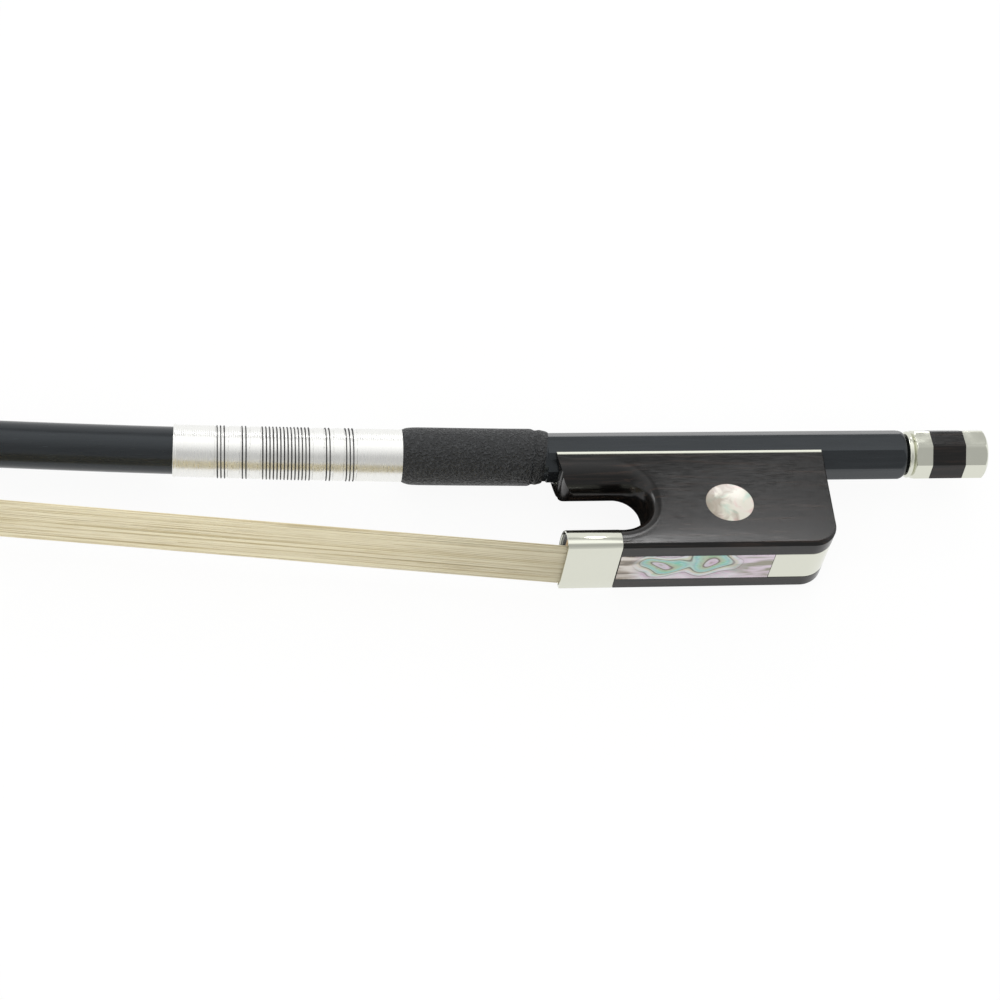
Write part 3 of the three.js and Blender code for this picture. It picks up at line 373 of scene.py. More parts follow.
def hair_at_frog(s):
    """Height of the hair's middle where it enters the ferrule."""
    return s.frog.ferrule_wall + GAP + s.hair.thickness / 2 - s.frog.height


def head_place(s):
    """The head's origin, and its directions along the hair to the tip and up to the stick."""
    drop, free = s.head.drop, s.hair.free
    slope = np.arctan2(shaft_height(s, -free) - drop - hair_at_frog(s), free)
    sine, cosine = np.sin(slope), np.cos(slope)
    base_y = shaft_height(s, drop * sine - free) - drop * cosine
    base = np.array([-FERRULE_FRONT - free, base_y, 0])
    return base, np.array([-cosine, sine, 0]), np.array([sine, cosine, 0])


def in_head(s, a, b, z):
    """Points given along, above and across the head, in the bow's own directions."""
    base, along, up = head_place(s)
    return base + grid(a, b, z) @ np.array([along, up, [0, 0, 1]])


# The stick with its head

# Rows of the head from the shaft to the face: rear edge along and up, front edge along and
# up, half width, half width of the rear face as a share of it, and how far the section has
# turned from the shaft's circle to the head's own shape
HEAD_ROWS = [
    [-12.0, 17.6, -12.0, 24.2, 3.3, 0.6, 0.0],
    [-10.0, 17.6, -7.4, 24.4, 3.3, 0.6, 0.02],
    [-8.1, 17.3, -2.6, 24.55, 3.28, 0.6, 0.1],
    [-6.5, 16.4, 2.4, 23.9, 3.28, 0.6, 0.25],
    [-5.1, 15.3, 6.6, 22.5, 3.3, 0.62, 0.45],
    [-3.8, 14.1, 9.4, 20.5, 3.35, 0.66, 0.65],
    [-2.6, 12.8, 11.6, 18.3, 3.42, 0.7, 0.82],
    [-1.65, 11.5, 13.3, 15.9, 3.55, 0.74, 0.94],
    [-1.0, 10.0, 15.0, 13.2, 3.72, 0.77, 1.0],
    [-0.6, 8.4, 16.8, 10.6, 3.95, 0.8, 1.0],
    [-0.36, 6.8, 18.9, 7.7, 4.28, 0.84, 1.0],
    [-0.2, 5.0, 21.0, 5.2, 4.65, 0.87, 1.0],
    [-0.1, 3.4, 22.8, 3.3, 5.0, 0.89, 1.0],
    [-0.05, 1.7, 24.5, 1.7, 5.4, 0.91, 1.0],
    [0.0, 0.5, 25.4, 0.5, 5.6, 0.92, 1.0],
]
# Half of the head's section behind its rear face: share along and share of the half width
HEAD_RIM = [[0.0, 1.0], [0.1, 1.09], [0.4, 1.02], [0.66, 0.8], [0.86, 0.47], [1.0, 0.12]]
# Points round one ring of the stick
RING = 64


def head_section(rear_share, turned):
    """Half of a head slice from its rear round to its front, as shares along and across.

    The slice has a flat rear face, sides that swell and then draw in, and a narrow ridge in
    front. It is mixed with a half circle of the same size by the share turned.
    """
    half, flat = RING // 2, 7
    swell, reach = HEAD_RIM[1][1], 0.12
    rim = through(HEAD_RIM, half - flat)
    rim[:, 1] *= rear_share + (1 - rear_share) * np.minimum(rim[:, 0] / reach, 1)
    rim[:, 1] /= np.where(rim[:, 0] > 0, swell, 1)
    rear = grid(0, steps(0, 1, flat) * rear_share)
    own = np.vstack([rear, rim[1:], [[1.0, 0.08], [1.0, 0.0]]])
    angle = np.pi * np.arange(half + 1) / half
    circle = grid((1 - np.cos(angle)) / 2, np.sin(angle))
    return circle * (1 - turned) + own * turned


def head_rings(s):
    """Rings of the head from the shaft to the sole, each set between its rear and front edges."""
    rings = []
    for rear_a, rear_b, front_a, front_b, width, rear_share, turned in through(HEAD_ROWS, 84):
        share, out = head_section(rear_share, np.clip(turned, 0, 1)).T
        a = rear_a + share * (front_a - rear_a)
        b = rear_b + share * (front_b - rear_b)
        near = in_head(s, a, b, out * width)
        rings.append(np.concatenate([near, near[1:-1][::-1] * [1, 1, -1]]))
    return np.array(rings)


def stick_rings(s):
    """Rings of the stick from the bore in its handle back along the shaft to the head.

    The handle's radius is the smaller of an octagon and a turned end, whose corner is a
    superellipse.
    """
    st = s.stick
    angle = np.pi - ring_angles(RING)
    rounded = steps(st.handle_end, st.handle_end - st.end_round, 14)
    x = np.append(rounded, steps(rounded[-1], -st.handle_reach, 18)[1:])[:, None]
    past_corner = st.handle_flat / 2 / np.cos(np.pi / 8) + 0.1
    end = st.handle_flat / 2 - st.end_drop
    run = np.clip((x - st.handle_end + st.end_round) / st.end_round, 0, 1)
    turned = end + (past_corner - end) * np.sqrt(1 - run**2.2)
    straight = round_handle(x, np.minimum(octagon(st.handle_flat, angle), turned), angle)
    tip = st.handle_end + st.nipple_length
    bore_x = np.array([st.bore_from, st.bore_from, tip, tip, st.handle_end])[:, None]
    bore_radius = np.array([0, st.bore, st.bore, st.nipple, st.nipple])[:, None] / 2
    inner = round_handle(bore_x, bore_radius, angle)
    neck = in_head(s, *HEAD_ROWS[0][:2], 0)[0] + 1.5
    shaft_x = steps(-st.handle_reach, neck, 170)[:, None]
    shaft = on_shaft(s, shaft_x, angle, shaft_radius(s, shaft_x))
    return np.concatenate([inner, straight, shaft, head_rings(s)])


class BOW_OT_stick(bpy.types.Operator):
    """Octagonal handle, bent tapering shaft and carved head, as one carbon stick"""

    bl_idname = "bow.stick"
    bl_label = "Stick and head"

    def execute(self, context):
        worn = (carbon_lacquered(), "stick", "stick", "carbon_stick")
        piece("stick_with_head", [capped(stick_rings(sizes()))], *worn, sharp=24)
        return {"FINISHED"}


def plate_outline(s):
    """Plan of the head's face: sides that draw in to a rounded tip, with a notch for the hair.

    Half the width is a superellipse of the share along, never less than the tip's own.
    """
    h = s.head
    share = np.sin(steps(0, np.pi / 2, 40))
    across = np.sqrt(np.clip(1 - share**2.6, 0, 1)) ** 0.9
    tip_half = 0.35
    side = grid(share * h.plate, np.maximum(across * h.plate_width / 2, tip_half))
    hair_half = s.hair.head_width / 2 + GAP
    hair_end = h.mortise_rear + s.hair.thickness + 2 * GAP
    plug_half = h.mortise_width / 2
    notch = [[h.mortise_front, plug_half], [hair_end, plug_half], [hair_end, hair_half], [0, hair_half]]
    half = np.vstack([notch, side])
    return np.vstack([half, half[::-1] * [1, -1]])


def plate_layer(s, name, above, thickness, edge, *worn):
    """A flat layer on the head's face with its outer edge eased by a small chamfer."""
    a, z = plate_outline(s).T
    count = len(a)
    points = np.concatenate([in_head(s, a, b, z) for b in (above, above + thickness)])
    sides = grid_cells(2, count, close_columns=True)
    made = solid(name, points, [range(count), range(count, 2 * count), *sides.tolist()])
    bevel = made.modifiers.new("eased edge", "BEVEL")
    bevel.width = edge * MM
    bevel.segments = 2
    bevel.limit_method = "ANGLE"
    bevel.angle_limit = np.radians(60)
    wear(made, *worn)


class BOW_OT_head_face(bpy.types.Operator):
    """Metal face plate on a thin black liner, under the head"""

    bl_idname = "bow.head_face"
    bl_label = "Head's face"

    def execute(self, context):
        s = sizes()
        plate, liner = s.head.plate_thickness, s.head.liner_thickness
        above = s.hair.thickness / 2 - liner
        worn = (nickel_silver_polished(), "stick", "head_plate", "nickel_silver")
        plate_layer(s, "head_face_plate", above - GAP - plate, plate, 0.12, *worn)
        worn = (liner_black(), "stick", "head_liner", "liner")
        plate_layer(s, "head_face_liner", above, liner, 0.05, *worn)
        return {"FINISHED"}


# Leather grip, wire winding and thread


def grip_rings(s):
    """Rings of the grip: it tapers at the wire, and is gathered to a pleated ridge at the frog.

    Its height over the shaft is the leather's thickness, skived at the wire by an exponential
    and let down behind a shoulder. A bell-shaped ridge, fine pleats, a slow swell and a lapped
    seam lie on that. The rings near the frog lean, so that the end runs aslant.
    """
    g = s.grip
    skived, gathered = 2.5, g.grip - 5
    front = -(s.stick.handle_reach + GAP + g.grip)
    angle = ring_angles(96)
    parts = (
        steps(0, skived, 12),
        steps(skived, gathered, 70)[1:],
        steps(gathered, g.grip, 44)[1:],
    )
    x = np.concatenate(parts)[:, None]
    rear = g.grip - x
    lean = 0.65 * np.cos(angle) * np.clip(1 - rear / 5, 0, 1)
    thickness = g.leather * (1 - 0.5 * np.exp(-x / 0.7)) * (0.75 + 0.25 * np.tanh((rear - 2.6) / 0.35))
    ridge = 0.16 * np.exp(-(((rear - 1.5) / 0.55) ** 2))
    rounding = 0.3 * np.clip(1 - rear / 0.8, 0, 1) ** 2
    pleats = 0.045 * np.sin(29 * angle + 2.1 * np.sin(3 * angle)) * np.exp(-(((rear - 1.9) / 0.9) ** 2))
    swell = 0.035 * np.sin(2 * angle + 0.16 * x) * np.clip(x / 3, 0, 1)
    past_seam = (angle - 3.7) % (2 * np.pi)
    seam = 0.12 * np.clip(1 - past_seam / 0.5, 0, 1) * np.clip(x / 1.5, 0, 1)
    height = thickness + ridge - rounding + pleats + swell + seam
    outer = on_shaft(s, front + x + lean, angle, shaft_radius(s, front + x) + height)
    ends = np.array([[front + g.grip], [front]]) + lean[[-1, 0]]
    return np.concatenate([outer, on_shaft(s, ends, angle, shaft_radius(s, ends) + GAP)])


class BOW_OT_grip(bpy.types.Operator):
    """Leather grip with a pleated end at the frog and a lapped seam on the far side"""

    bl_idname = "bow.grip"
    bl_label = "Leather grip"

    def execute(self, context):
        worn = (leather_pebbled(), "stick", "leather_grip", "leather")
        tube = patch(grip_rings(sizes()), close_rows=True, close_columns=True)
        piece("grip_leather", [tube], *worn, sharp=50)
        return {"FINISHED"}


# Bands of thread: node, place along the winding and number of loops
BANDS = [
    ("thread_band_tip", 8.9, 3),
    ("thread_pair_tip", 13.2, 2),
    ("thread_band_middle", 20.9, 14),
    ("thread_pair_grip", 28.65, 2),
    ("thread_band_grip", 32.7, 3),
]


def winding_ends(s):
    """Front and rear end of the winding, which starts at the grip."""
    rear = -(s.stick.handle_reach + s.grip.grip) - 2 * GAP
    return rear - s.grip.winding, rear


def winding_rings(s):
    """Rows of the winding follow its wire: each row is one line along the helix.

    The height over the stick is a round wire's half circle across the pitch, drawn a little
    flat, less a shallow bed under each band of thread. The first turn is a thicker end ring.
    """
    g = s.grip
    front, rear = winding_ends(s)
    angle = np.append(ring_angles(60), 2 * np.pi)
    rows = 6
    turns = int(np.ceil(g.winding / g.wire_pitch)) + 1
    row = np.arange(turns * rows + 1)[:, None] / rows
    x = np.clip((row - 1 + angle / (2 * np.pi)) * g.wire_pitch, 0, g.winding)
    across = np.abs(row % 1 - 0.5) * 2
    rib, bed, bed_margin = 0.045, 0.12, 0.24
    height = g.wire + rib * (np.sqrt(1 - 0.85 * across**2) - 1)
    for _, middle, loops in BANDS:
        height = height - bed * (np.abs(x - middle) < loops * g.thread_pitch / 2 + bed_margin)
    ring_half = 0.275
    end_ring = 0.14 * np.sqrt(np.clip(1 - (x / ring_half - 1) ** 2, 0, 1)) - 0.02
    height = np.where(x < 2 * ring_half, g.wire + end_ring, height)
    outer = on_shaft(s, front + x, angle, shaft_radius(s, front + x) + height)
    ends = np.array([[rear], [front]])
    return np.concatenate([outer, on_shaft(s, ends, angle, shaft_radius(s, ends) + GAP)])


def thread_rings(s, middle, loops):
    """Rings of one thread: small circles carried along a helix, drawn in at its two ends."""
    g = s.grip
    turn = steps(0, loops, loops * 60 + 1)[:, None]
    side = ring_angles(10)
    size = g.thread / 2 * np.sqrt(np.clip(np.minimum(turn, loops - turn) / 0.02, 0.05, 1))
    x = winding_ends(s)[0] + middle + (turn - loops / 2) * g.thread_pitch
    sunk = 0.02
    radius = shaft_radius(s, x) + g.wire - sunk + size * np.cos(side)
    return on_shaft(s, x + size * np.sin(side), 2 * np.pi * turn, radius)


class BOW_OT_winding(bpy.types.Operator):
    """Silver wire wound on the stick, with five bands of black thread laid between its turns"""

    bl_idname = "bow.winding"
    bl_label = "Winding and threads"

    def execute(self, context):
        s = sizes()
        worn = (silver_wire(), "stick", "winding_sleeve", "winding_wire")
        piece("winding_silver", [patch(winding_rings(s), close_rows=True)], *worn, sharp=60)
        for node, middle, loops in BANDS:
            worn = (silk_thread(), "stick", node, "thread")
            piece(node.replace("thread", "silk"), [capped(thread_rings(s, middle, loops))], *worn)
        return {"FINISHED"}


# Hair

# Strands side by side and on top of each other
HAIR_COLUMNS, HAIR_LAYERS = 92, 5
# Last turn of the hair's middle line into the head's mortise: along the head and up
HAIR_TURN = [[1.0, 0.0], [1.7, 0.04], [2.15, 0.22], [2.42, 0.6], [2.5, 1.2], [2.5, 3.0]]


def hair_line(s):
    """Middle line of the ribbon: inside the ferrule, straight to the head, up into its mortise."""
    y = hair_at_frog(s)
    start = np.array([-FERRULE_FRONT, y, 0])
    inside = 5.6
    straight = start + (head_place(s)[0] - start) * steps(0, 1, 34)[:, None]
    bend = in_head(s, *np.array(HAIR_TURN).T, 0)
    return np.concatenate([grid(steps(inside, 0, 3), y, 0), straight, bend])


def hair_strands(s):
    """Four-sided strands laid side by side in layers along the ribbon's middle line.

    Each strand keeps its place across the ribbon, which narrows to the head, and wanders from
    it by two slow sines whose size grows from nothing at both ends. Points, tones and places
    across come back.
    """
    rng = np.random.default_rng(7)
    turn = 6.28
    room_across, room_deep = 0.4, 0.35
    wander = np.array([0.16, 0.07])[:, None, None]
    line = hair_line(s)
    tangent = np.gradient(line, axis=0)
    tangent /= np.linalg.norm(tangent, axis=1, keepdims=True)
    normal = grid(-tangent[:, 1], tangent[:, 0], 0)
    total = HAIR_COLUMNS * HAIR_LAYERS
    column = np.repeat(np.arange(HAIR_COLUMNS), HAIR_LAYERS)
    layer = np.tile(np.arange(HAIR_LAYERS), HAIR_COLUMNS)
    across = (column + 0.5 + rng.uniform(-room_across, room_across, total)) / HAIR_COLUMNS - 0.5
    deep = (layer + 0.5 + rng.uniform(-room_deep, room_deep, total)) / HAIR_LAYERS - 0.5
    travel = np.clip(-line[:, 0] / s.hair.free, 0, 1)
    width = s.hair.frog_width + (s.hair.head_width - s.hair.frog_width) * travel - s.hair.strand
    free = np.where((travel > 0) & (travel < 1), np.abs(np.sin(np.pi * travel)) ** 0.35, 0)
    phase, pace = rng.uniform(0, turn, (2, total, 1)), rng.uniform(3, 9, (2, total, 1))
    aside, above = wander * free * np.sin(pace * travel * turn + phase)
    z = np.clip(across[:, None] * width + aside, -width / 2, width / 2)
    h = deep[:, None] * (s.hair.thickness - s.hair.strand) + above
    middle = line + h[..., None] * normal + grid(0, 0, z)
    angle = ring_angles(4)[:, None]
    ring = s.hair.strand / 2 * (np.cos(angle) * normal[:, None] + np.sin(angle) * [0, 0, 1.0])
    return middle[:, :, None] + ring, rng.uniform(0, 1, total), across


class BOW_OT_hair(bpy.types.Operator):
    """Ribbon of horsehair strands, from the ferrule to the mortise in the head"""

    bl_idname = "bow.hair"
    bl_label = "Hair"

    def execute(self, context):
        points, tone, across = hair_strands(sizes())
        total, rows, sides = points.shape[:3]
        first = np.arange(total)[:, None] * rows * sides
        cells = (grid_cells(rows, sides, close_columns=True) + first[..., None]).reshape(-1, 4)
        caps = np.concatenate([first + [3, 2, 1, 0], first + (rows - 1) * sides + [0, 1, 2, 3]])
        faces = [*cells.tolist(), *caps.tolist()]
        made = solid("hair_ribbon", points.reshape(-1, 3), faces)
        made.data.polygons.foreach_set("use_smooth", np.ones(len(faces), bool))
        for name, value in (("strand_tone", tone), ("strand_place", across)):
            shade = made.data.attributes.new(name, "FLOAT", "POINT")
            shade.data.foreach_set("value", np.repeat(value, rows * sides).astype(np.float32))
        made.data.materials.append(horsehair())
        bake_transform(made)
        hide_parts("hair")
        return {"FINISHED"}


# Frog

# Points of the throat's line: on the slant at the lip's top, along the lip's underside, round
# the throat's end and behind it
SLANT, WALL, END, TAIL = 5, 8, 96, 3
# Depth of the bed that the slide lies in, and how far its walls flare
SLIDE_BED, BED_FLARE = 2.4, 0.62
# Bevels of the back and of its slanting top
BACK_BEVEL, SLANT_BEVEL = 0.2, 0.15


def frog_half(s, y):
    """Half width of the frog at a height: straight from top to bottom, less a shallow hollow."""
    f = s.frog
    share = np.clip((-f.top - y) / (f.height - f.top), 0, 1)
    return f.top_half + (f.bottom_width / 2 - f.top_half) * share - f.hollow * 4 * share * (1 - share)


def softer(a, b, reach):
    """The smaller of two heights with the crease between them rounded over a reach."""
    return np.minimum(a, b) - np.maximum(reach - np.abs(a - b), 0) ** 2 / (4 * reach)


def lip_front(s, y):
    """Place of the lip's front, which leans back evenly towards its lower end."""
    return s.frog.front_lean * (-s.frog.top - y) / (s.frog.lip_bottom - s.frog.top)


def heel_back(s, y):
    """Place of the frog's back, which leans forward evenly down to the heel."""
    f = s.frog
    return f.length - f.heel_lean * np.minimum((-f.top - y) / (f.height - f.top - f.heel_radius), 1)


def channel_half(s, y):
    """Half width of the open channel at a height, between its slanting sides."""
    return s.frog.top_half + s.frog.top + y


def throat_line(s):
    """Inner edge of the frog's side view, from the lip's top front to behind the ferrule.

    Each point has its direction into the wood and a share, zero along the lip and one behind
    the throat. The throat's end is half of a superellipse. The lip's count of points and that
    of its front come back too.
    """
    f = s.frog
    power = 0.88
    lean = np.arctan2(f.front_lean, f.lip_bottom - f.top)
    corner_y = f.lip_corner - f.lip_bottom
    corner_x = lip_front(s, corner_y) + f.lip_corner / np.cos(lean)
    arc_top = corner_y + f.lip_corner * np.sin(np.pi - lean)
    front_y = np.append(steps(-f.top, -f.channel, SLANT), steps(-f.channel, arc_top, 7))
    angle = steps(np.pi - lean, 1.5 * np.pi, 17)[1:]
    end_x = f.throat_depth - f.throat_radius
    bottom = f.height - f.ferrule_height
    turn = steps(0, 1, END + 1)[1:]
    theta = np.pi / 2 - np.pi * turn
    ahead, up = np.maximum(np.cos(theta), 0), np.sin(theta)
    end_y = np.sign(up) * np.abs(up) ** power * (bottom - f.lip_bottom) / 2 - (bottom + f.lip_bottom) / 2
    line = [
        grid(lip_front(s, front_y), front_y),
        grid(corner_x + f.lip_corner * np.cos(angle), corner_y + f.lip_corner * np.sin(angle)),
        grid(steps(corner_x, end_x, WALL + 1)[1:], -f.lip_bottom),
        grid(end_x + f.throat_radius * ahead**power, end_y),
        grid(steps(end_x, f.ferrule_length - FERRULE_FRONT + GAP, TAIL + 1)[1:], -bottom),
    ]
    lip, front = len(front_y) + len(angle), len(front_y)
    inward = [np.tile([0, 1], (lip + WALL, 1)), grid(ahead, up), np.tile([0, -1], (TAIL, 1))]
    turns = np.concatenate([np.zeros(lip + WALL), turn, np.ones(TAIL)])
    return np.vstack(line), np.vstack(inward), turns, lip, front


def outer_line(s, line, lip, front):
    """Outer edge of the frog's side view, point for point with the throat's line.

    It runs along the top edge, down the back, round the heel and forward under the frog.
    Each row has its place, its outward direction, its bevel and the depth of the inlay's bed.
    The number of points along the top edge comes back too.
    """
    f = s.frog
    step = 0.003
    wall_x = line[lip : lip + WALL, 0] * 1.04 + 0.3
    top_x = [steps(0, 0.9, front), steps(0.9, 4.1, lip - front + 1)[1:], wall_x]
    top_x = np.concatenate([*top_x, steps(wall_x[-1], f.length, 25)[1:]])
    bed = f.plate_thickness + GAP
    heel_top = f.heel_radius - f.height
    plate_y = GAP - f.plate_top
    slant_y = steps(-f.top, -f.channel, SLANT)
    plate_ys = [plate_y - step, *steps(plate_y, heel_top, SLANT + 6)[1:]]
    back_y = np.concatenate([slant_y, [-f.channel, plate_y], plate_ys])
    back_bevel = np.where(np.arange(len(back_y)) < SLANT, SLANT_BEVEL * (back_y < -f.top), BACK_BEVEL)
    back_bed = np.where(back_y < plate_y, bed, 0)
    centre_x = heel_back(s, heel_top) - f.heel_radius
    share = steps(0, 1, 27)[1:]
    out_x, out_y = np.cos(np.pi / 2 * share), np.sin(np.pi / 2 * share)
    round_x, round_y = centre_x + f.heel_radius * out_x, heel_top - f.heel_radius * out_y
    heel_bevel = BACK_BEVEL + (f.bevel - BACK_BEVEL) * np.minimum(share * 1.4, 1)
    rows = [
        grid(top_x, -f.top, 0, 1, 0, 0),
        grid(heel_back(s, back_y), back_y, 1, 0, back_bevel, back_bed),
        grid(round_x, round_y, out_x, -out_y, heel_bevel, bed),
        grid(steps(centre_x, f.slide_end - GAP, 8)[1:], -f.height, 0, -1, f.bevel, bed),
    ]
    left = len(line) - sum(map(len, rows)) - TAIL
    end_x = f.throat_depth - f.throat_radius + 0.6
    slide_x = steps(f.slide_end - GAP - step, end_x, left)
    tail_x = steps(end_x, f.ferrule_length - FERRULE_FRONT + GAP, TAIL + 1)[1:]
    rows.append(grid(np.append(slide_x, tail_x), -f.height, 0, -1, f.bevel, SLIDE_BED))
    return np.vstack(rows), len(top_x)


def frog_side(s):
    """Patches of the frog's near half, from the middle plane outwards.

    A grid runs from the throat's line to the outer edge. Its height over the middle plane is
    the smaller of the cheek's half width and a half ellipse that rises from the throat, so
    the wall rolls over into the cheek. Walls close it at the front, the back and below.
    """
    f = s.frog
    line, inward, turns, lip, front = throat_line(s)
    outer, top_count = outer_line(s, line, lip, front)
    true, outward, bevel, bed = outer[:, :2], outer[:, 2:4], outer[:, 4:5], outer[:, 5:]
    edge = true - outward * bevel
    far_depth = np.where(turns < 0.5, f.lip_round, f.ferrule_height - f.ferrule_side)
    depth = f.throat_round + (far_depth - f.throat_round) * (1 - 2 * turns) ** 2
    rolled = line + inward * depth[:, None]
    rolled[:lip] = line[:lip] + (edge[:lip] - line[:lip]) * f.lip_round / (f.lip_bottom - f.top)
    # The roll rises a little past the cheek, and the crease between the two is eased
    past, ease = 0.14, 0.5
    lip_full = frog_half(s, f.lip_round - f.lip_bottom) + past
    full = np.where(turns > 0, frog_half(s, rolled[:, 1]) + past, lip_full)

    def half_width(at, rise):
        """The smaller of the cheek's half width and the roll's, as far as the roll has risen."""
        back = np.clip((at[:lip, 1] + f.lip_bottom) / f.lip_round, 0, 1)
        roll = full * rise
        roll[:lip] = lip_full * np.sqrt(1 - (1 - back) ** 2)
        return softer(frog_half(s, at[:, 1]), roll, ease)

    here = half_width(line, 0)
    here[lip:] = 0
    here = np.maximum(here, 0)
    opened = np.zeros(len(line))
    opened[:SLANT] = channel_half(s, line[:SLANT, 1])
    foot = channel_half(s, -f.channel)
    step = np.minimum(foot, here)
    step[:SLANT] = opened[:SLANT]
    levels = (opened, step, *(step + (here - step) * k for k in (0.35, 0.7, 0.93)))
    rows = [np.column_stack([line, level]) for level in levels]
    for t in steps(0, np.pi / 2, 19):
        at = line + (rolled - line) * (1 - np.cos(t))
        rows.append(np.column_stack([at, np.maximum(half_width(at, np.sin(t)), 0)]))
    rest = half_width(rolled, 1) - frog_half(s, rolled[:, 1])
    for k in steps(0, 1, 17)[1:]:
        at = rolled + (edge - rolled) * k
        rows.append(np.column_stack([at, frog_half(s, at[:, 1]) + rest * (1 - k) ** 2]))
    cheek = np.array(rows)
    below = slice(top_count, None)
    true, outward, bevel, bed = true[below], outward[below], bevel[below, 0], bed[below]
    corner = frog_half(s, true[:, 1]) - bevel
    inner = np.zeros(len(true))
    inner[:SLANT] = channel_half(s, true[:SLANT, 1])
    lip_of_bed = np.maximum(np.minimum(f.slide_width / 2 + GAP, corner), inner)
    deep = true - outward * bed
    flared = lip_of_bed + np.where(bed[:, 0] == SLIDE_BED, BED_FLARE, 0)
    walls = [(true, corner), (true, lip_of_bed)]
    walls += [(deep, level) for level in (flared, np.maximum(inner, foot), inner)]
    closing = np.array([cheek[-1][below], *map(np.column_stack, walls)])
    caps = [np.stack([side[:, -1], side[:, -1] * [1, 1, 0]], 1) for side in (cheek, closing)]
    y = np.append(steps(-f.top, -f.channel, SLANT), -f.channel)[:, None]
    z = channel_half(s, y)
    z[-1] = 0
    across = edge[:top_count, 0] / f.length
    channel = grid(lip_front(s, y) + (heel_back(s, y) - lip_front(s, y)) * across, y, z)
    return [patch(points) for points in (cheek, closing, *caps, channel)]


def tongue(s):
    """The wood inside the ferrule: the ferrule's arch drawn in, over a flat bottom."""
    f = s.frog
    inset = f.ferrule_wall + GAP
    floor, reach = -21.75, 9.85
    angle = steps(-np.pi / 2, np.pi / 2, 49)
    arch = f.ferrule_height - f.ferrule_side - inset
    y = f.ferrule_side - f.height + arch * np.cos(angle)
    z = (f.bottom_width / 2 - inset) * np.sin(angle)
    return capped(grid([[0], [reach]], np.maximum(y, floor), z))


def ferrule_section(s, inset):
    """The ferrule's closed section: an elliptic arch, upright sides, bevels and a flat."""
    f = s.frog
    half = f.bottom_width / 2 - inset
    spring = f.ferrule_side - f.height
    arch = f.ferrule_height - f.ferrule_side - inset
    bottom = inset - f.height
    bevel = f.bevel - 0.4 * inset
    ease = 0.08
    angle = steps(0, np.pi / 2, 30)
    low = [
        [half, bottom + bevel + ease],
        [half - ease * 0.3, bottom + bevel - ease * 0.3],
        [half - bevel + ease * 0.5, bottom + ease * 0.4],
        [half - bevel - ease, bottom],
        [half / 2, bottom],
    ]
    side = np.vstack([grid(half * np.sin(angle), spring + arch * np.cos(angle)), low])
    return np.vstack([side, [[0, bottom]], side[:0:-1] * [-1, 1]])


def ferrule_rings(s):
    """The ferrule's section carried along the bow, out over its front rim and back inside."""
    wall, front = s.frog.ferrule_wall, -FERRULE_FRONT
    rear = s.frog.ferrule_length - FERRULE_FRONT
    stations = [
        (wall, front + 0.12),
        (wall - 0.1, front),
        (0.12, front),
        (0.03, front + 0.04),
        (0.0, front + 0.14),
        (0.0, rear - 0.08),
        (0.04, rear),
        (wall, rear),
    ]
    rings = []
    for inset, x in stations:
        z, y = ferrule_section(s, inset).T
        rings.append(grid(x, y, z))
    return np.array(rings)


def underslide_patches(s):
    """The thin lining of the channel's three facets, with ends that lean as the frog's do."""
    flat = s.stick.handle_flat / 2
    edge = s.frog.top_half - 0.02
    tube = []
    for out, x_of, shift in (
        (0.2, lip_front, 0.2),
        (0.5, lip_front, 0.2),
        (0.5, heel_back, -0.2),
        (0.2, heel_back, -0.2),
    ):
        slant = (flat + out) * np.sqrt(2)
        z = np.array([edge, slant - flat - out, flat + out - slant, -edge])
        y = np.array([edge - slant, -flat - out, -flat - out, edge - slant])
        tube.append(grid(x_of(s, y) + shift, y, z))
    tube = np.array(tube)
    edges = [tube[[0, 1, 3, 2], k].reshape(2, 2, 3) for k in (0, 3)]
    return [patch(tube, close_rows=True), *map(patch, edges)]


def heel_plate_rings(s):
    """The heel plate's flat section carried from the slide round the heel and up the back."""
    f = s.frog
    heel_top = f.heel_radius - f.height
    centre_x = heel_back(s, heel_top) - f.heel_radius
    sine, cosine = np.sin(steps(0, np.pi / 2, 40)), np.cos(steps(0, np.pi / 2, 40))
    under_x = steps(f.slide_end, centre_x, 8)[:-1]
    back_y = steps(heel_top, -f.plate_top, 12)[1:]
    path = [
        grid(under_x, -f.height, 0, -1),
        grid(centre_x + f.heel_radius * sine, heel_top - f.heel_radius * cosine, sine, -cosine),
        grid(heel_back(s, back_y), back_y, 1, 0),
    ]
    x, y, out_x, out_y = np.vstack(path).T[..., None]
    half, thick, ease = f.slide_width / 2, f.plate_thickness, 0.07
    z = np.array([-half, -half, ease - half, half - ease, half, half])
    deep = np.array([thick, ease, 0, 0, ease, thick])
    return grid(x - out_x * deep, y - out_y * deep, z)


def eye_rings(s, side):
    """A pearl disc let into the cheek, hardly crowned, with an eased edge."""
    f = s.frog
    radius, let_in, proud, crown = f.eye / 2, 1.3, 0.03, 0.13
    share = np.array([0.97, 0.9, 0.8, 0.65, 0.5, 0.35, 0.2, 0.08])
    r = np.append([radius - 0.02, radius, radius, radius - 0.05], radius * share)[:, None]
    h = np.append([-let_in, -0.1, -0.02, proud], proud + crown * (1 - share**2))[:, None]
    lean = (frog_half(s, -f.eye_below - 0.2) - frog_half(s, -f.eye_below + 0.2)) / 0.4
    slope = np.arctan(lean)
    angle = ring_angles(96)
    up = r * np.sin(angle)
    y = -f.eye_below + up * np.cos(slope) + h * np.sin(slope)
    z = frog_half(s, -f.eye_below) - up * np.sin(slope) + h * np.cos(slope)
    return grid(f.eye_along + r * np.cos(angle), y, side * z)


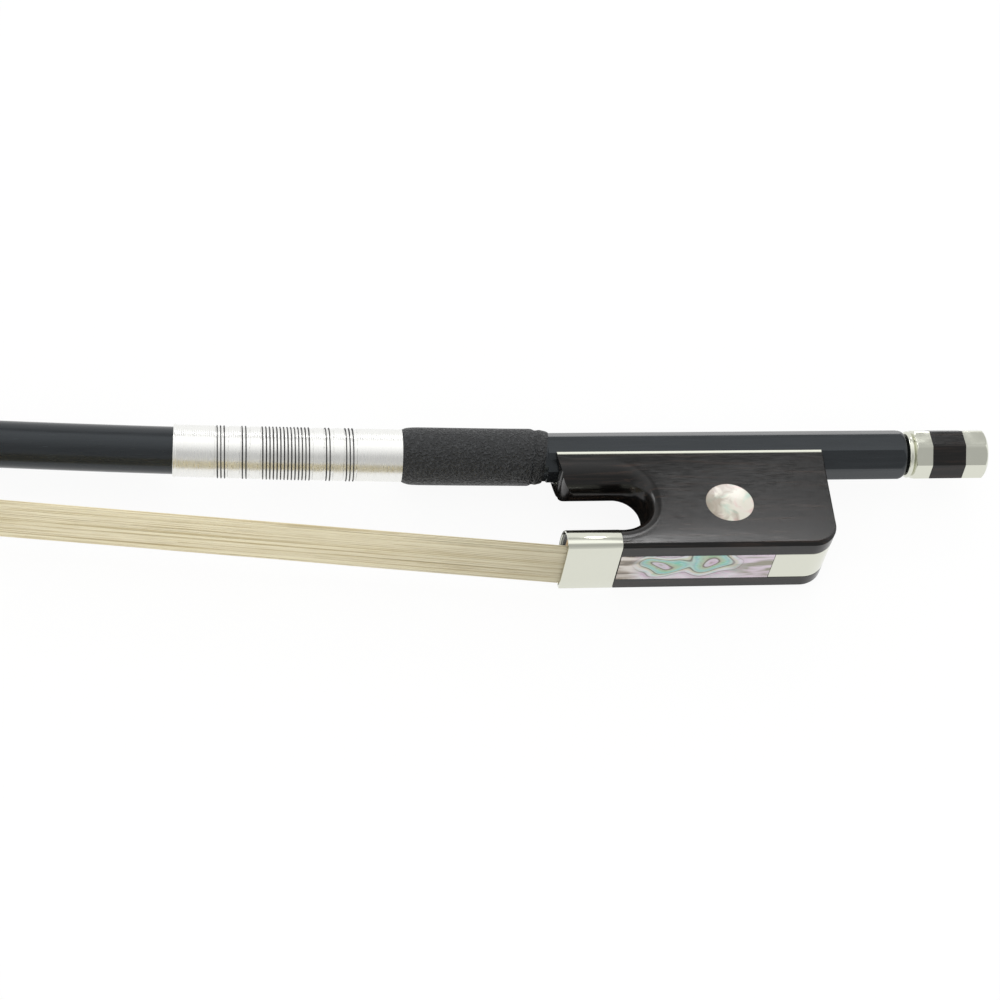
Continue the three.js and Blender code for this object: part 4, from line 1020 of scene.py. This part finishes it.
class BOW_OT_frog(bpy.types.Operator):
    """Ebony frog: hollow cheeks, a rounded lip and thumb throat, and beds for its inlays"""

    bl_idname = "bow.frog"
    bl_label = "Frog"

    def execute(self, context):
        s = sizes()
        near = frog_side(s)
        far = [(points * [1, 1, -1], cells) for points, cells in near]
        worn = (ebony_polished(), "frog", "frog_body", "ebony")
        piece("frog_ebony", [*near, *far, tongue(s)], *worn, sharp=28)
        return {"FINISHED"}


class BOW_OT_frog_metal(bpy.types.Operator):
    """Ferrule, heel plate and the metal lining of the frog's channel"""

    bl_idname = "bow.frog_metal"
    bl_label = "Frog's metal"

    def execute(self, context):
        s = sizes()
        metal = nickel_silver_polished()
        ferrule = [patch(ferrule_rings(s), close_rows=True, close_columns=True)]
        for node, patches, sharp in (
            ("ferrule", ferrule, 30),
            ("heel_plate", [capped(heel_plate_rings(s))], 40),
            ("underslide", underslide_patches(s), 20),
        ):
            piece(node + "_bright", patches, metal, "frog", node, "nickel_silver", sharp=sharp)
        for node in ("underslide_pin_1", "underslide_pin_2", "heel_pin_upper", "heel_pin_lower"):
            finish_node(node, metal)
        finish_node("eyelet", brass_turned())
        return {"FINISHED"}


class BOW_OT_inlays(bpy.types.Operator):
    """Pearl eyes on both cheeks and the abalone slide"""

    bl_idname = "bow.inlays"
    bl_label = "Inlays"

    def execute(self, context):
        s = sizes()
        for side, end in ((1, "near"), (-1, "far")):
            worn = (mother_of_pearl(s), "frog", "eye_" + end, "pearl")
            piece("eye_pearl_" + end, [capped(eye_rings(s, side))], *worn, sharp=50)
        finish_node("slide_shell", abalone_polished())
        finish_node("slide_backing", ebony_polished())
        return {"FINISHED"}


# Button, plugs and knots

# How far the screw has turned the button against the handle's facets
BUTTON_TURN = np.radians(-8)


def turned_octagon(s, profile):
    """Rings of an octagonal bar with its ends turned.

    Each row of the profile has a place, a radius, and one where the octagon limits it too.
    """
    angle = ring_angles(128) + np.pi / 8
    x, limit, octagonal = np.array(profile).T[..., None]
    side = np.where(octagonal, octagon(s.button.flat, angle, 160), np.inf)
    return round_handle(x, np.minimum(side, limit), angle + BUTTON_TURN)


def chamfer_rows(start, end, corner, full):
    """Rows of a rounded chamfer from a small turned radius up to past the corners, by a sine."""
    share = steps(0, 1, 22)
    return grid(start + (end - start) * share, corner + (full - corner) * np.sin(np.pi / 2 * share), 1)


class BOW_OT_button(bpy.types.Operator):
    """Three-part screw button: beaded front, ebony middle and chamfered cap"""

    bl_idname = "bow.button"
    bl_label = "Button"

    def execute(self, context):
        s = sizes()
        b = s.button
        metal = nickel_silver_polished()
        full = b.flat / 2 / np.cos(np.pi / 8) + 0.05
        web = b.start + b.front
        end = web + b.core
        last = end + b.cap
        seat, joint, bead = 4.2, 0.02, 0.55
        turn = steps(np.pi, 0.15, 14)
        front = [
            [b.start + 0.6, 3.4, 0],
            [b.start, 3.5, 0],
            *grid(b.start + bead * (1 + np.cos(turn)), 3.95 + bead * np.sin(turn), 0),
            *chamfer_rows(b.start + 1.15, b.start + 1.75, 4.12, full),
            [web - joint, full, 1],
        ]
        core = [[web, seat, 1], [web, full, 1], [end, full, 1], [end, seat, 1]]
        cap = [
            [end + joint, seat, 1],
            [end + joint, full, 1],
            [end + 0.05, full, 1],
            *chamfer_rows(last, last - b.chamfer, 4.15, full)[::-1],
            [last, 3.2, 0],
        ]
        for name, profile, material, slot in (
            ("front_bright", front, metal, "nickel_silver"),
            ("core_ebony", core, ebony_polished(), "ebony"),
            ("cap_bright", cap, metal, "nickel_silver"),
        ):
            worn = (material, "screw", "button_" + name.split("_")[0], slot)
            piece("button_" + name, [capped(turned_octagon(s, profile))], *worn, sharp=24)
        finish_node("screw", steel_turned())
        return {"FINISHED"}


def knot_rings(low, high):
    """A tied knot: a flat bundle that swells on both sides of a waist of thread turns.

    The swell is a power of a sine, less a bell-shaped waist that carries a cosine's ribs.
    """
    middle, size = (low + high) / 2, high - low
    share = steps(0, 1, 49)[:, None]
    from_waist = np.abs(share - 0.5)
    swell = np.sin(np.pi * share) ** 0.35 * (1 - 0.25 * np.exp(-((from_waist / 0.12) ** 2)))
    swell = 0.9 * swell * (1 + 0.05 * np.cos(18 * np.pi * share) * (from_waist < 0.16))
    angle = ring_angles(32)
    rings = grid(0.98 * (share - 0.5), swell * np.cos(angle) / 2, swell * np.sin(angle) / 2)
    return middle + rings * size


class BOW_OT_hidden(bpy.types.Operator):
    """Wooden plugs and wedge that hold the hair, and the tied knots they press on"""

    bl_idname = "bow.hidden"
    bl_label = "Plugs and knots"

    def execute(self, context):
        wood = maple_plain()
        for node in ("head_plug", "ferrule_wedge", "frog_plug"):
            finish_node(node, wood)
        for end, body in (("head", "stick"), ("frog", "frog")):
            node = end + "_hair_knot"
            low, high = (np.array(corner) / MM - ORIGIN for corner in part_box(node))
            worn = (horsehair(), body, node, "horsehair")
            piece(end + "_tied_knot", [capped(knot_rings(low, high))], *worn)
        return {"FINISHED"}


# Materials


def paint(value):
    """A hex colour, a grey or a linear colour as linear red, green, blue and opacity."""
    return (*(linear(value) if isinstance(value, str) else np.broadcast_to(value, 3)), 1)


def add(tree, kind, *inputs, stops=(), **named):
    """Adds one node with its settings, its inputs and the stops of its ramp.

    Inputs come in order or by name, and other names are settings. An input is a value, a
    socket, or a node whose first output is linked. Stops are places with their colours.
    """
    node = tree.nodes.new("ShaderNode" + kind)
    for key in [key for key in named if hasattr(node, key)]:
        setattr(node, key, named.pop(key))
    sockets = [socket for socket in node.inputs if socket.enabled][: len(inputs)]
    sockets += [node.inputs[key] for key in named]
    for socket, value in zip(sockets, (*inputs, *named.values()), strict=True):
        if isinstance(value, bpy.types.Node):
            value = next(output for output in value.outputs if output.enabled)
        if isinstance(value, bpy.types.NodeSocket):
            tree.links.new(value, socket)
        else:
            socket.default_value = paint(value) if socket.type == "RGBA" else value
    for _ in stops[2:]:
        node.color_ramp.elements.new(0.5)
    for (place, value), mark in zip(stops, node.color_ramp.elements if stops else (), strict=True):
        mark.position = place
        mark.color = paint(value)
    return node


def fresh(name, kind="materials"):
    """A new material or world with its empty node tree."""
    holder = getattr(bpy.data, kind).new(name)
    holder.use_nodes = True
    holder.node_tree.nodes.clear()
    return holder, holder.node_tree


def finish(material, base, roughness, bump=None, **values):
    """Ends a material with its shader over a base colour, a roughness and a bump.

    A bump is the node of its height, its strength and its distance in millimetres.
    """
    tree = material.node_tree
    if bump:
        height, strength, reach = bump
        values["Normal"] = add(tree, "Bump", Height=height, Strength=strength, Distance=reach * MM)
    values = {"Base Color": base, "Roughness": roughness, **values}
    add(tree, "OutputMaterial", Surface=add(tree, "BsdfPrincipled", **values))
    return material


def bow_place(tree, stretch=(1, 1, 1), move=(0, 0, 0)):
    """Place on the bow in millimetres from its origin, stretched along its axes."""
    place = add(tree, "TexCoord").outputs["Object"]
    shift = [-(o + m) * k for o, m, k in zip(ORIGIN, move, stretch, strict=True)]
    return add(tree, "Mapping", place, Location=shift, Scale=[k / MM for k in stretch])


def carbon_lacquered():
    """Carbon fibre under satin lacquer: near-black and cool, with a faint rub along its length."""
    carbon = settings("colours").carbon
    material, tree = fresh("Carbon, satin lacquer")
    cloud = add(tree, "TexNoise", bow_place(tree, (0.12, 1.4, 1.4)), Scale=1.0, Detail=4.0)
    tone = add(tree, "ValToRGB", cloud, stops=[(0.3, 0.85 * carbon), (0.7, 1.25 * carbon)])
    rub = add(tree, "ValToRGB", cloud, stops=[(0.3, 0.2), (0.7, 0.28)])
    grain = add(tree, "TexNoise", bow_place(tree), Scale=2.2)
    return finish(material, tone, rub, (grain, 0.04, 0.2), **{"Specular Tint": (0.86, 0.94, 1.0)})


def ebony_polished():
    """Ebony, scraped and oil polished: fine pores and brown streaks along the frog's length."""
    c = settings("colours")
    material, tree = fresh("Ebony, polished")
    streak = {"Scale": 1.0, "Detail": 5.0, "Roughness": 0.62, "Distortion": 0.5}
    bands = add(tree, "TexNoise", bow_place(tree, (0.07, 1.5, 0.9)), **streak)
    middle = (c.ebony + c.ebony_streak) / 2
    stops = [(0.34, 0.55 * c.ebony), (0.52, c.ebony), (0.64, middle), (0.74, c.ebony_streak)]
    tone = add(tree, "ValToRGB", bands, stops=stops)
    pore = {"Scale": 1.0, "Detail": 3.0, "Roughness": 0.7}
    pores = add(tree, "TexNoise", bow_place(tree, (0.35, 6.0, 4.0)), **pore)
    mark = add(tree, "ValToRGB", pores, stops=[(0.36, 0.55), (0.46, 1.0)])
    both = add(tree, "Mix", 1.0, tone, mark, data_type="RGBA", blend_type="MULTIPLY")
    rough = add(tree, "ValToRGB", pores, stops=[(0.34, 0.26), (0.6, 0.12)])
    return finish(material, both, rough, (pores, 0.04, 0.02), **{"Specular IOR Level": 0.37})


def metal_rubbed(name, base, low, high, scale, detail=3.0, stretch=(1, 1, 1), bump=None):
    """A metal whose roughness lies between two values, by rub marks of a scale and a stretch."""
    material, tree = fresh(name)
    cloud = add(tree, "TexNoise", bow_place(tree, stretch), Scale=scale, Detail=detail)
    rub = add(tree, "ValToRGB", cloud, stops=[(0.35, low), (0.65, high)])
    if bump:
        fine = add(tree, "TexNoise", bow_place(tree, bump[0]), Scale=1.0, Detail=3.0)
        bump = (fine, *bump[1:])
    return finish(material, base, rub, bump, Metallic=1.0)


def nickel_silver_polished():
    """Nickel silver, buffed: a warm bright metal with the faintest rub marks."""
    base, marks = settings("colours").nickel, ((0.6, 3, 3), 0.03, 0.05)
    return metal_rubbed("Nickel silver, polished", base, 0.09, 0.15, 0.5, bump=marks)


def silver_wire():
    """Silver wire, drawn: bright, with a drawn wire's streaks round the stick."""
    base, streaks = settings("colours").silver, (2.6, 0.3, 0.3)
    return metal_rubbed("Silver wire, drawn", base, 0.24, 0.36, 1.0, stretch=streaks)


def brass_turned():
    """Brass, turned: warm metal with fine tool marks."""
    return metal_rubbed("Brass, turned", "#c8a65e", 0.24, 0.36, 4.0, 2.0)


def steel_turned():
    """Steel, turned: grey metal with fine tool marks."""
    return metal_rubbed("Steel, turned", "#b9b9b6", 0.24, 0.38, 4.0, 2.0)


def silk_thread():
    """Black silk thread, twisted: matt, with a slant of fibres."""
    thread = settings("colours").thread
    material, tree = fresh("Silk thread, twisted")
    twist = add(tree, "TexNoise", bow_place(tree), Scale=6.0)
    tone = add(tree, "ValToRGB", twist, stops=[(0.3, 0.6 * thread), (0.7, 1.6 * thread)])
    sheen = {"Sheen Weight": 0.15, "Sheen Roughness": 0.4}
    return finish(material, tone, 0.6, (twist, 0.3, 0.05), **sheen)


def leather_pebbled():
    """Goat leather, dyed black: pebbles of about half a millimetre that shine on their tops, with a
    painted highlight on each top and painted shade in the gaps between them.
    """
    leather = settings("colours").leather
    material, tree = fresh("Goat leather, black")
    place = bow_place(tree)
    warp = add(tree, "TexNoise", place, Scale=0.9)
    moved = add(tree, "VectorMath", warp.outputs["Color"], 0.6, operation="SCALE")
    shifted = add(tree, "VectorMath", place, moved, operation="ADD")
    pebble = add(tree, "TexVoronoi", shifted, Scale=2.3, feature="SMOOTH_F1")
    # Painted highlight and shade: the colour is lighter on each pebble's top and darker in the gaps
    # between pebbles
    tone = add(tree, "ValToRGB", pebble, stops=[(0.0, 1.2 * leather), (0.6, 0.35 * leather)])
    rough = add(tree, "ValToRGB", pebble, stops=[(0.0, 0.24), (0.6, 0.6)])
    top = add(tree, "ValToRGB", pebble, stops=[(0.0, 1.0), (0.55, 0.0)])
    return finish(material, tone, rough, (top, 1.0, 0.42))


def horsehair():
    """Horsehair, bleached: silky cream strands, some darker, with a sheen along them."""
    c = settings("colours")
    material, tree = fresh("Horsehair, bleached")
    tone = add(tree, "Attribute", attribute_name="strand_tone").outputs["Fac"]
    place = add(tree, "Attribute", attribute_name="strand_place").outputs["Fac"]
    bunch = add(tree, "TexNoise", noise_dimensions="1D", W=place, Scale=26.0, Detail=3.0)
    long = add(tree, "TexNoise", bow_place(tree, (0.012, 1.2, 1.2)), Scale=1.0)
    parts = add(tree, "Math", bunch, 0.45, tone, operation="MULTIPLY_ADD")
    weight = add(tree, "Math", parts, 0.62, operation="MULTIPLY")
    mixed = add(tree, "Math", long, 0.5, weight, operation="MULTIPLY_ADD")
    stops = [(0.25, np.minimum(1.18 * c.hair, 1)), (0.75, c.hair), (1.0, c.hair_dark)]
    shade = add(tree, "ValToRGB", mixed, stops=stops)
    # The hair's colour is darker towards the ferrule
    along = add(tree, "SeparateXYZ", bow_place(tree, (0.01, 1, 1), (-100, 0, 0)))
    rub = add(tree, "ValToRGB", along, stops=[(0.35, 1.0), (0.65, 0.94), (0.9, 0.78), (1.0, 0.7)])
    worn = add(tree, "Mix", 1.0, shade, rub, data_type="RGBA", blend_type="MULTIPLY")
    return finish(material, worn, 0.45, **{"Sheen Weight": 0.1})


def mother_of_pearl(s):
    """Mother of pearl, polished: milky, with soft pink and green clouds, and brown clouds of painted
    shade that grow stronger towards the frog's front.
    """
    pearl = settings("colours").pearl
    material, tree = fresh("Mother of pearl, polished")
    place = bow_place(tree, (1, 1, 0.4), (s.frog.eye_along, -s.frog.eye_below, 0))
    cloud = add(tree, "TexNoise", place, Scale=0.2, Distortion=0.6)
    stops = [(0.3, "#a9c9bb"), (0.42, "#d6d3c4"), (0.52, pearl), (0.62, "#d9bfb8"), (0.72, "#b5cfbf")]
    tone = add(tree, "ValToRGB", cloud, stops=stops)
    # Painted shade: brown clouds mixed in more strongly towards the frog's front, so that side of the eye
    # is darker
    shadow = add(tree, "TexNoise", place, Scale=0.34, Detail=3.0, Distortion=0.8)
    parts = add(tree, "SeparateXYZ", place)
    lean = add(tree, "Math", parts, -0.085, shadow, operation="MULTIPLY_ADD")
    mark = add(tree, "ValToRGB", lean, stops=[(0.46, 0.0), (0.66, 0.7), (0.85, 0.85)])
    both = add(tree, "Mix", mark, tone, "#8f8070", data_type="RGBA")
    return finish(material, both, 0.2, **{"Coat Weight": 0.3, "Coat Roughness": 0.06})


# Abalone's two whorls, as middle and stretch; its body by distance from them over SHELL_REACH,
# with the sidebar's colours by name; its growth lines by the same; its sheen by a cloud; and
# for each end of the slide where it starts, its streaks' stretch and move, and their colours
WHORLS = (((18.4, 0, 0.8), (0.75, 0, 1.4)), ((26.9, 0, 2.1), (0.88, 0, 0.72)))
SHELL_REACH = 8.0
SHELL_BODY = (
    (0.0, "#6f7d50"), (0.05, "#b9a5b4"), (0.12, "#c5b4c6"), (0.18, "#94a86c"),
    (0.25, "shell_green"), (0.32, "shell_teal"), (0.38, "#a5d3c0"), (0.44, "#b9b489"),
    (0.5, "#cbd4d4"), (0.62, "shell_lilac"), (0.75, "#d8d0d8"), (0.88, "#c5b9bd"),
    (1.0, "#b9aca6"),
)
SHELL_LINES = (
    (0.12, 0.0), (0.155, 1.0), (0.185, 0.1), (0.3, 0.0), (0.33, 0.2), (0.37, 0.1),
    (0.4, 1.0), (0.43, 0.0), (0.55, 0.0), (0.575, 0.8), (0.6, 0.0),
)
SHELL_SHEEN = ((0.34, "#7fc4b4"), (0.45, "#cfdcd6"), (0.55, "#ead9e6"), (0.66, "#c79cc0"))
SHELL_ENDS = (
    (((0.3, 1.0), (0.37, 0.0)), (0.12, 0, 0.8), (0, 0, 0), ("#6f6457", "#9c9082", "#d6cfc8")),
    (((0.76, 0.0), (0.86, 0.85)), (0.14, 0, 0.6), (0, 0, 5), ("#7f7c66", "#bfb2ba", "#d9c9d8")),
)


def abalone_polished():
    """Abalone shell, ground flat and polished: growth lines round two whorls, teal to lilac."""
    c = settings("colours")
    material, tree = fresh("Abalone shell, polished")
    place = bow_place(tree, (1, 0, 1))
    warp = add(tree, "TexNoise", place, Scale=0.2, Detail=0.0).outputs["Color"]
    centred = add(tree, "VectorMath", warp, (0.5, 0.5, 0.5), operation="SUBTRACT")
    scaled = add(tree, "VectorMath", centred, 4.0, operation="SCALE")
    moved = add(tree, "VectorMath", place, scaled, operation="ADD")
    fields = []
    for middle, stretch in WHORLS:
        away = add(tree, "VectorMath", moved, middle, operation="SUBTRACT")
        shaped = add(tree, "VectorMath", away, stretch, operation="MULTIPLY")
        fields.append(add(tree, "VectorMath", shaped, operation="LENGTH"))
    near = add(tree, "Math", *fields, 3.5, operation="SMOOTH_MIN")
    scale = add(tree, "Math", near, SHELL_REACH, operation="DIVIDE")
    stops = [(at, getattr(c, shade, shade)) for at, shade in SHELL_BODY]
    body = add(tree, "ValToRGB", scale, stops=stops)
    line = add(tree, "ValToRGB", scale, stops=SHELL_LINES)
    cloud = bow_place(tree, (0.45, 0, 1.3))
    cloud = add(tree, "TexNoise", cloud, Scale=0.6, Detail=4.0, Distortion=2.5)
    sheen = add(tree, "ValToRGB", cloud, stops=SHELL_SHEEN)
    tinted = add(tree, "Mix", 0.28, body, sheen, data_type="RGBA")
    body = add(tree, "Mix", line, tinted, c.shell_line, data_type="RGBA")
    along = add(tree, "SeparateXYZ", bow_place(tree, (0.025, 1, 1)))
    for reach, stretch, move, tones in SHELL_ENDS:
        share = add(tree, "ValToRGB", along, stops=reach)
        streaks = add(tree, "TexNoise", bow_place(tree, stretch, move), Scale=1.0, Distortion=0.4)
        stops = list(zip((0.38, 0.47, 0.6), tones, strict=True))
        streak = add(tree, "ValToRGB", streaks, stops=stops)
        body = add(tree, "Mix", share, body, streak, data_type="RGBA")
    return finish(material, body, 0.2, **{"Coat Weight": 0.4, "Coat Roughness": 0.05})


def liner_black():
    """Black fibre liner, polished with the head: even and dark, with the faintest cloud."""
    material, tree = fresh("Vulcanised fibre, black")
    cloud = add(tree, "TexNoise", bow_place(tree), Scale=1.0, Detail=3.0)
    tone = add(tree, "ValToRGB", cloud, stops=[(0.3, "#121111"), (0.7, "#201f1e")])
    return finish(material, tone, 0.35)


def maple_plain():
    """Maple, cut plain: pale wood with a fine grain."""
    material, tree = fresh("Maple, cut plain")
    grain = add(tree, "TexNoise", bow_place(tree, (0.3, 3, 3)), Scale=1.0, Detail=4.0)
    tone = add(tree, "ValToRGB", grain, stops=[(0.35, "#b8935f"), (0.6, "#d4b88a")])
    return finish(material, tone, 0.6, (grain, 0.15, 0.1))


# Stage: floor, light and camera

# Width of the camera's sensor in millimetres, and of the photograph in pixels
SENSOR, PHOTO_SIZE = 36, 1000
# The lens in pixels of the photograph, and the camera's distance, its shift aside and up, its
# yaw, height angle and roll, and the bow's slope, as fitted to points of the handle and frog
FOCUS = 2479.739
DISTANCE, ASIDE, LIFT = 462.862, -138.508, -7.673
YAW, TILT, ROLL = np.radians([8.039, 32.315, -0.819])
SLOPE = 0.0035
FITTED_POINT = (63, 0, 0)
# Lamps: name, place in metres, size and power
LAMPS = (
    ("softbox behind", (0.63, 1.16, 0.85), (0.26, 0.25), 1.5),
    ("softbox left", (-0.7, 0.65, 0.25), (0.3, 0.25), 1.0),
)
# Brightness of the tent that polish mirrors, by angle over the top as a share of half a turn
TENT = (
    (0.0, 0.54), (0.06, 0.5), (0.13, 0.4), (0.22, 0.37), (0.28, 0.37), (0.43, 0.65), (0.54, 0.8),
    (0.68, 0.95), (0.715, 0.5), (0.745, 0.4), (0.79, 0.42), (0.82, 0.66), (1.0, 0.68),
)


def photograph_camera():
    """Axes and place of the camera from its distance, yaw, height angle and roll.

    The view line passes the fitted point of the handle at a distance, lowered by the height
    angle, then turned by the yaw and the roll; last the whole is turned to the bow's slope.
    """
    forward = np.array([0, np.sin(TILT), -np.cos(TILT)])
    right = np.array([1.0, 0, 0])
    up = np.array([0, np.cos(TILT), np.sin(TILT)])
    place = -DISTANCE * forward + ASIDE * right + LIFT * up
    ahead = forward * np.cos(YAW) + right * np.sin(YAW)
    beside = right * np.cos(YAW) - forward * np.sin(YAW)
    level = beside * np.cos(ROLL) + up * np.sin(ROLL)
    above = up * np.cos(ROLL) - beside * np.sin(ROLL)
    sine, cosine = np.sin(SLOPE), np.cos(SLOPE)
    turn = np.array([[cosine, -sine, 0], [sine, cosine, 0], [0, 0, 1]])
    place = (turn @ place + FITTED_POINT + ORIGIN) * MM
    return turn @ level, turn @ above, turn @ -ahead, place


def stand(name, data, *axes_and_place):
    """A camera or lamp with its three axes, at a place in metres."""
    made = bpy.data.objects.new(name, data)
    made.matrix_world = Matrix([*np.stack(axes_and_place, 1).tolist(), [0, 0, 0, 1]])
    bpy.context.scene.collection.objects.link(made)
    return made


class BOW_OT_stage(bpy.types.Operator):
    """White floor, soft studio light and the camera of the photograph"""

    bl_idname = "bow.stage"
    bl_label = "Stage"

    def execute(self, context):
        context.scene.view_settings.view_transform = "Standard"
        data = bpy.data.cameras.new("photograph")
        data.sensor_width = SENSOR
        data.lens = FOCUS * SENSOR / PHOTO_SIZE
        data.clip_start, data.clip_end = 0.01, 20
        context.scene.camera = stand("photograph", data, *photograph_camera())
        self.floor()
        self.card()
        self.lamps()
        self.world()
        return {"FINISHED"}

    def floor(self):
        """A large disc under the bow that shows white and keeps a soft shadow."""
        radius = np.array([0.0, 3.0, 9.0])[:, None] / MM
        below = 0.2
        disc = grid(radius * np.cos(ring_angles(64)), radius * np.sin(ring_angles(64)), -below)
        faces = grid_cells(3, 64, close_columns=True)[:, ::-1].tolist()
        floor = solid("floor", disc.reshape(-1, 3) - ORIGIN, faces, closed=False)
        material, tree = fresh("Paper sweep, white")
        values = {"Base Color": "#ececea", "Roughness": 0.9, "Specular IOR Level": 0.0}
        paper = add(tree, "BsdfPrincipled", **values)
        path = add(tree, "LightPath").outputs
        seen = add(tree, "Math", path["Is Camera Ray"], path["Is Glossy Ray"], operation="MAXIMUM")
        seen = add(tree, "Math", seen, path["Is Transmission Ray"], operation="MAXIMUM")
        share = add(tree, "Math", seen, 0.9, operation="MULTIPLY")
        glow = add(tree, "Emission", Color=1.0, Strength=1.02)
        add(tree, "OutputMaterial", Surface=add(tree, "MixShader", share, paper, glow))
        floor.data.materials.append(material)

    def card(self):
        """A dark card laid under the throat, which only the polished lip above it mirrors."""
        left, right, low, high = -3.0, 17.0, -18.3, 1.0
        above = 0.1 - ORIGIN[2]
        points = grid([left, right, right, left], [low, low, high, high], above)
        card = solid("throat_card", points, [[0, 1, 2, 3]], closed=False)
        card.data.materials.append(finish(fresh("Card, black")[0], 0.02, 1.0))
        card.visible_camera = False
        card.visible_diffuse = False
        card.visible_shadow = False

    def lamps(self):
        """A soft box behind the bow, mirrored in the frog's cheek, and one left of it, in its throat."""
        target = (ORIGIN + [10, 0, 0]) * MM
        for name, place, size, power in LAMPS:
            data = bpy.data.lights.new(name, "AREA")
            data.shape = "RECTANGLE"
            data.size, data.size_y = size
            data.energy = power
            z = (place - target) / np.linalg.norm(place - target)
            x = np.cross([0, 0, 1.0], z)
            x /= np.linalg.norm(x)
            stand(name, data, x, np.cross(z, x), z, place)

    def world(self):
        """A white tent that is darker in front, where the camera stands."""
        world, tree = fresh("tent", "worlds")
        bpy.context.scene.world = world
        parts = add(tree, "SeparateXYZ", add(tree, "TexCoord")).outputs
        away = add(tree, "Math", parts["Y"], -1.0, operation="MULTIPLY")
        height = add(tree, "Math", parts["Z"], away, operation="ARCTAN2")
        share = add(tree, "Math", height, np.pi, operation="DIVIDE")
        tent = add(tree, "ValToRGB", share, stops=TENT)
        aside = add(tree, "Math", parts["X"], operation="ABSOLUTE")
        flank = add(tree, "ValToRGB", aside, stops=[(0.5, 0.0), (0.85, 0.7)])
        tent = add(tree, "Mix", 1.0, tent, flank, data_type="RGBA", blend_type="LIGHTEN")
        mirrored = add(tree, "Background", Color=tent, Strength=1.5)
        white = add(tree, "Background", Color=1.0, Strength=1.0)
        path = add(tree, "LightPath").outputs
        lit = add(tree, "MixShader", path["Is Glossy Ray"], white, mirrored)
        clear = add(tree, "Math", path["Is Camera Ray"], path["Is Transmission Ray"], operation="MAXIMUM")
        add(tree, "OutputWorld", Surface=add(tree, "MixShader", clear, lit, white))


OPERATORS = [
    BOW_OT_stick,
    BOW_OT_head_face,
    BOW_OT_grip,
    BOW_OT_winding,
    BOW_OT_hair,
    BOW_OT_frog,
    BOW_OT_frog_metal,
    BOW_OT_inlays,
    BOW_OT_button,
    BOW_OT_hidden,
    BOW_OT_stage,
]


class BOW_PT_panel(bpy.types.Panel):
    """The pieces to build, and the sizes and colours they are built from"""

    bl_label = "Cello bow"
    bl_idname = "BOW_PT_panel"
    bl_space_type = "VIEW_3D"
    bl_region_type = "UI"
    bl_category = "Bow"

    def draw(self, context):
        for operator in OPERATORS:
            self.layout.operator(operator.bl_idname)
        for name, group in GROUPS.items():
            box = self.layout.box()
            for key in group.__annotations__:
                box.prop(getattr(context.scene, "bow_" + name), key)


CLASSES = (*GROUPS.values(), *OPERATORS, BOW_PT_panel)


def register():
    """Adds the groups, the operators and the panel, and gives every scene its groups."""
    for known in CLASSES:
        bpy.utils.register_class(known)
    for name, group in GROUPS.items():
        setattr(bpy.types.Scene, "bow_" + name, bpy.props.PointerProperty(type=group))


def unregister():
    """Takes away what register adds."""
    for name in GROUPS:
        delattr(bpy.types.Scene, "bow_" + name)
    for known in CLASSES[::-1]:
        bpy.utils.unregister_class(known)


def main():
    """Builds every piece and the stage."""
    register()
    for operator in OPERATORS:
        group, name = operator.bl_idname.split(".")
        getattr(getattr(bpy.ops, group), name)()


if __name__ == "__main__":
    main()
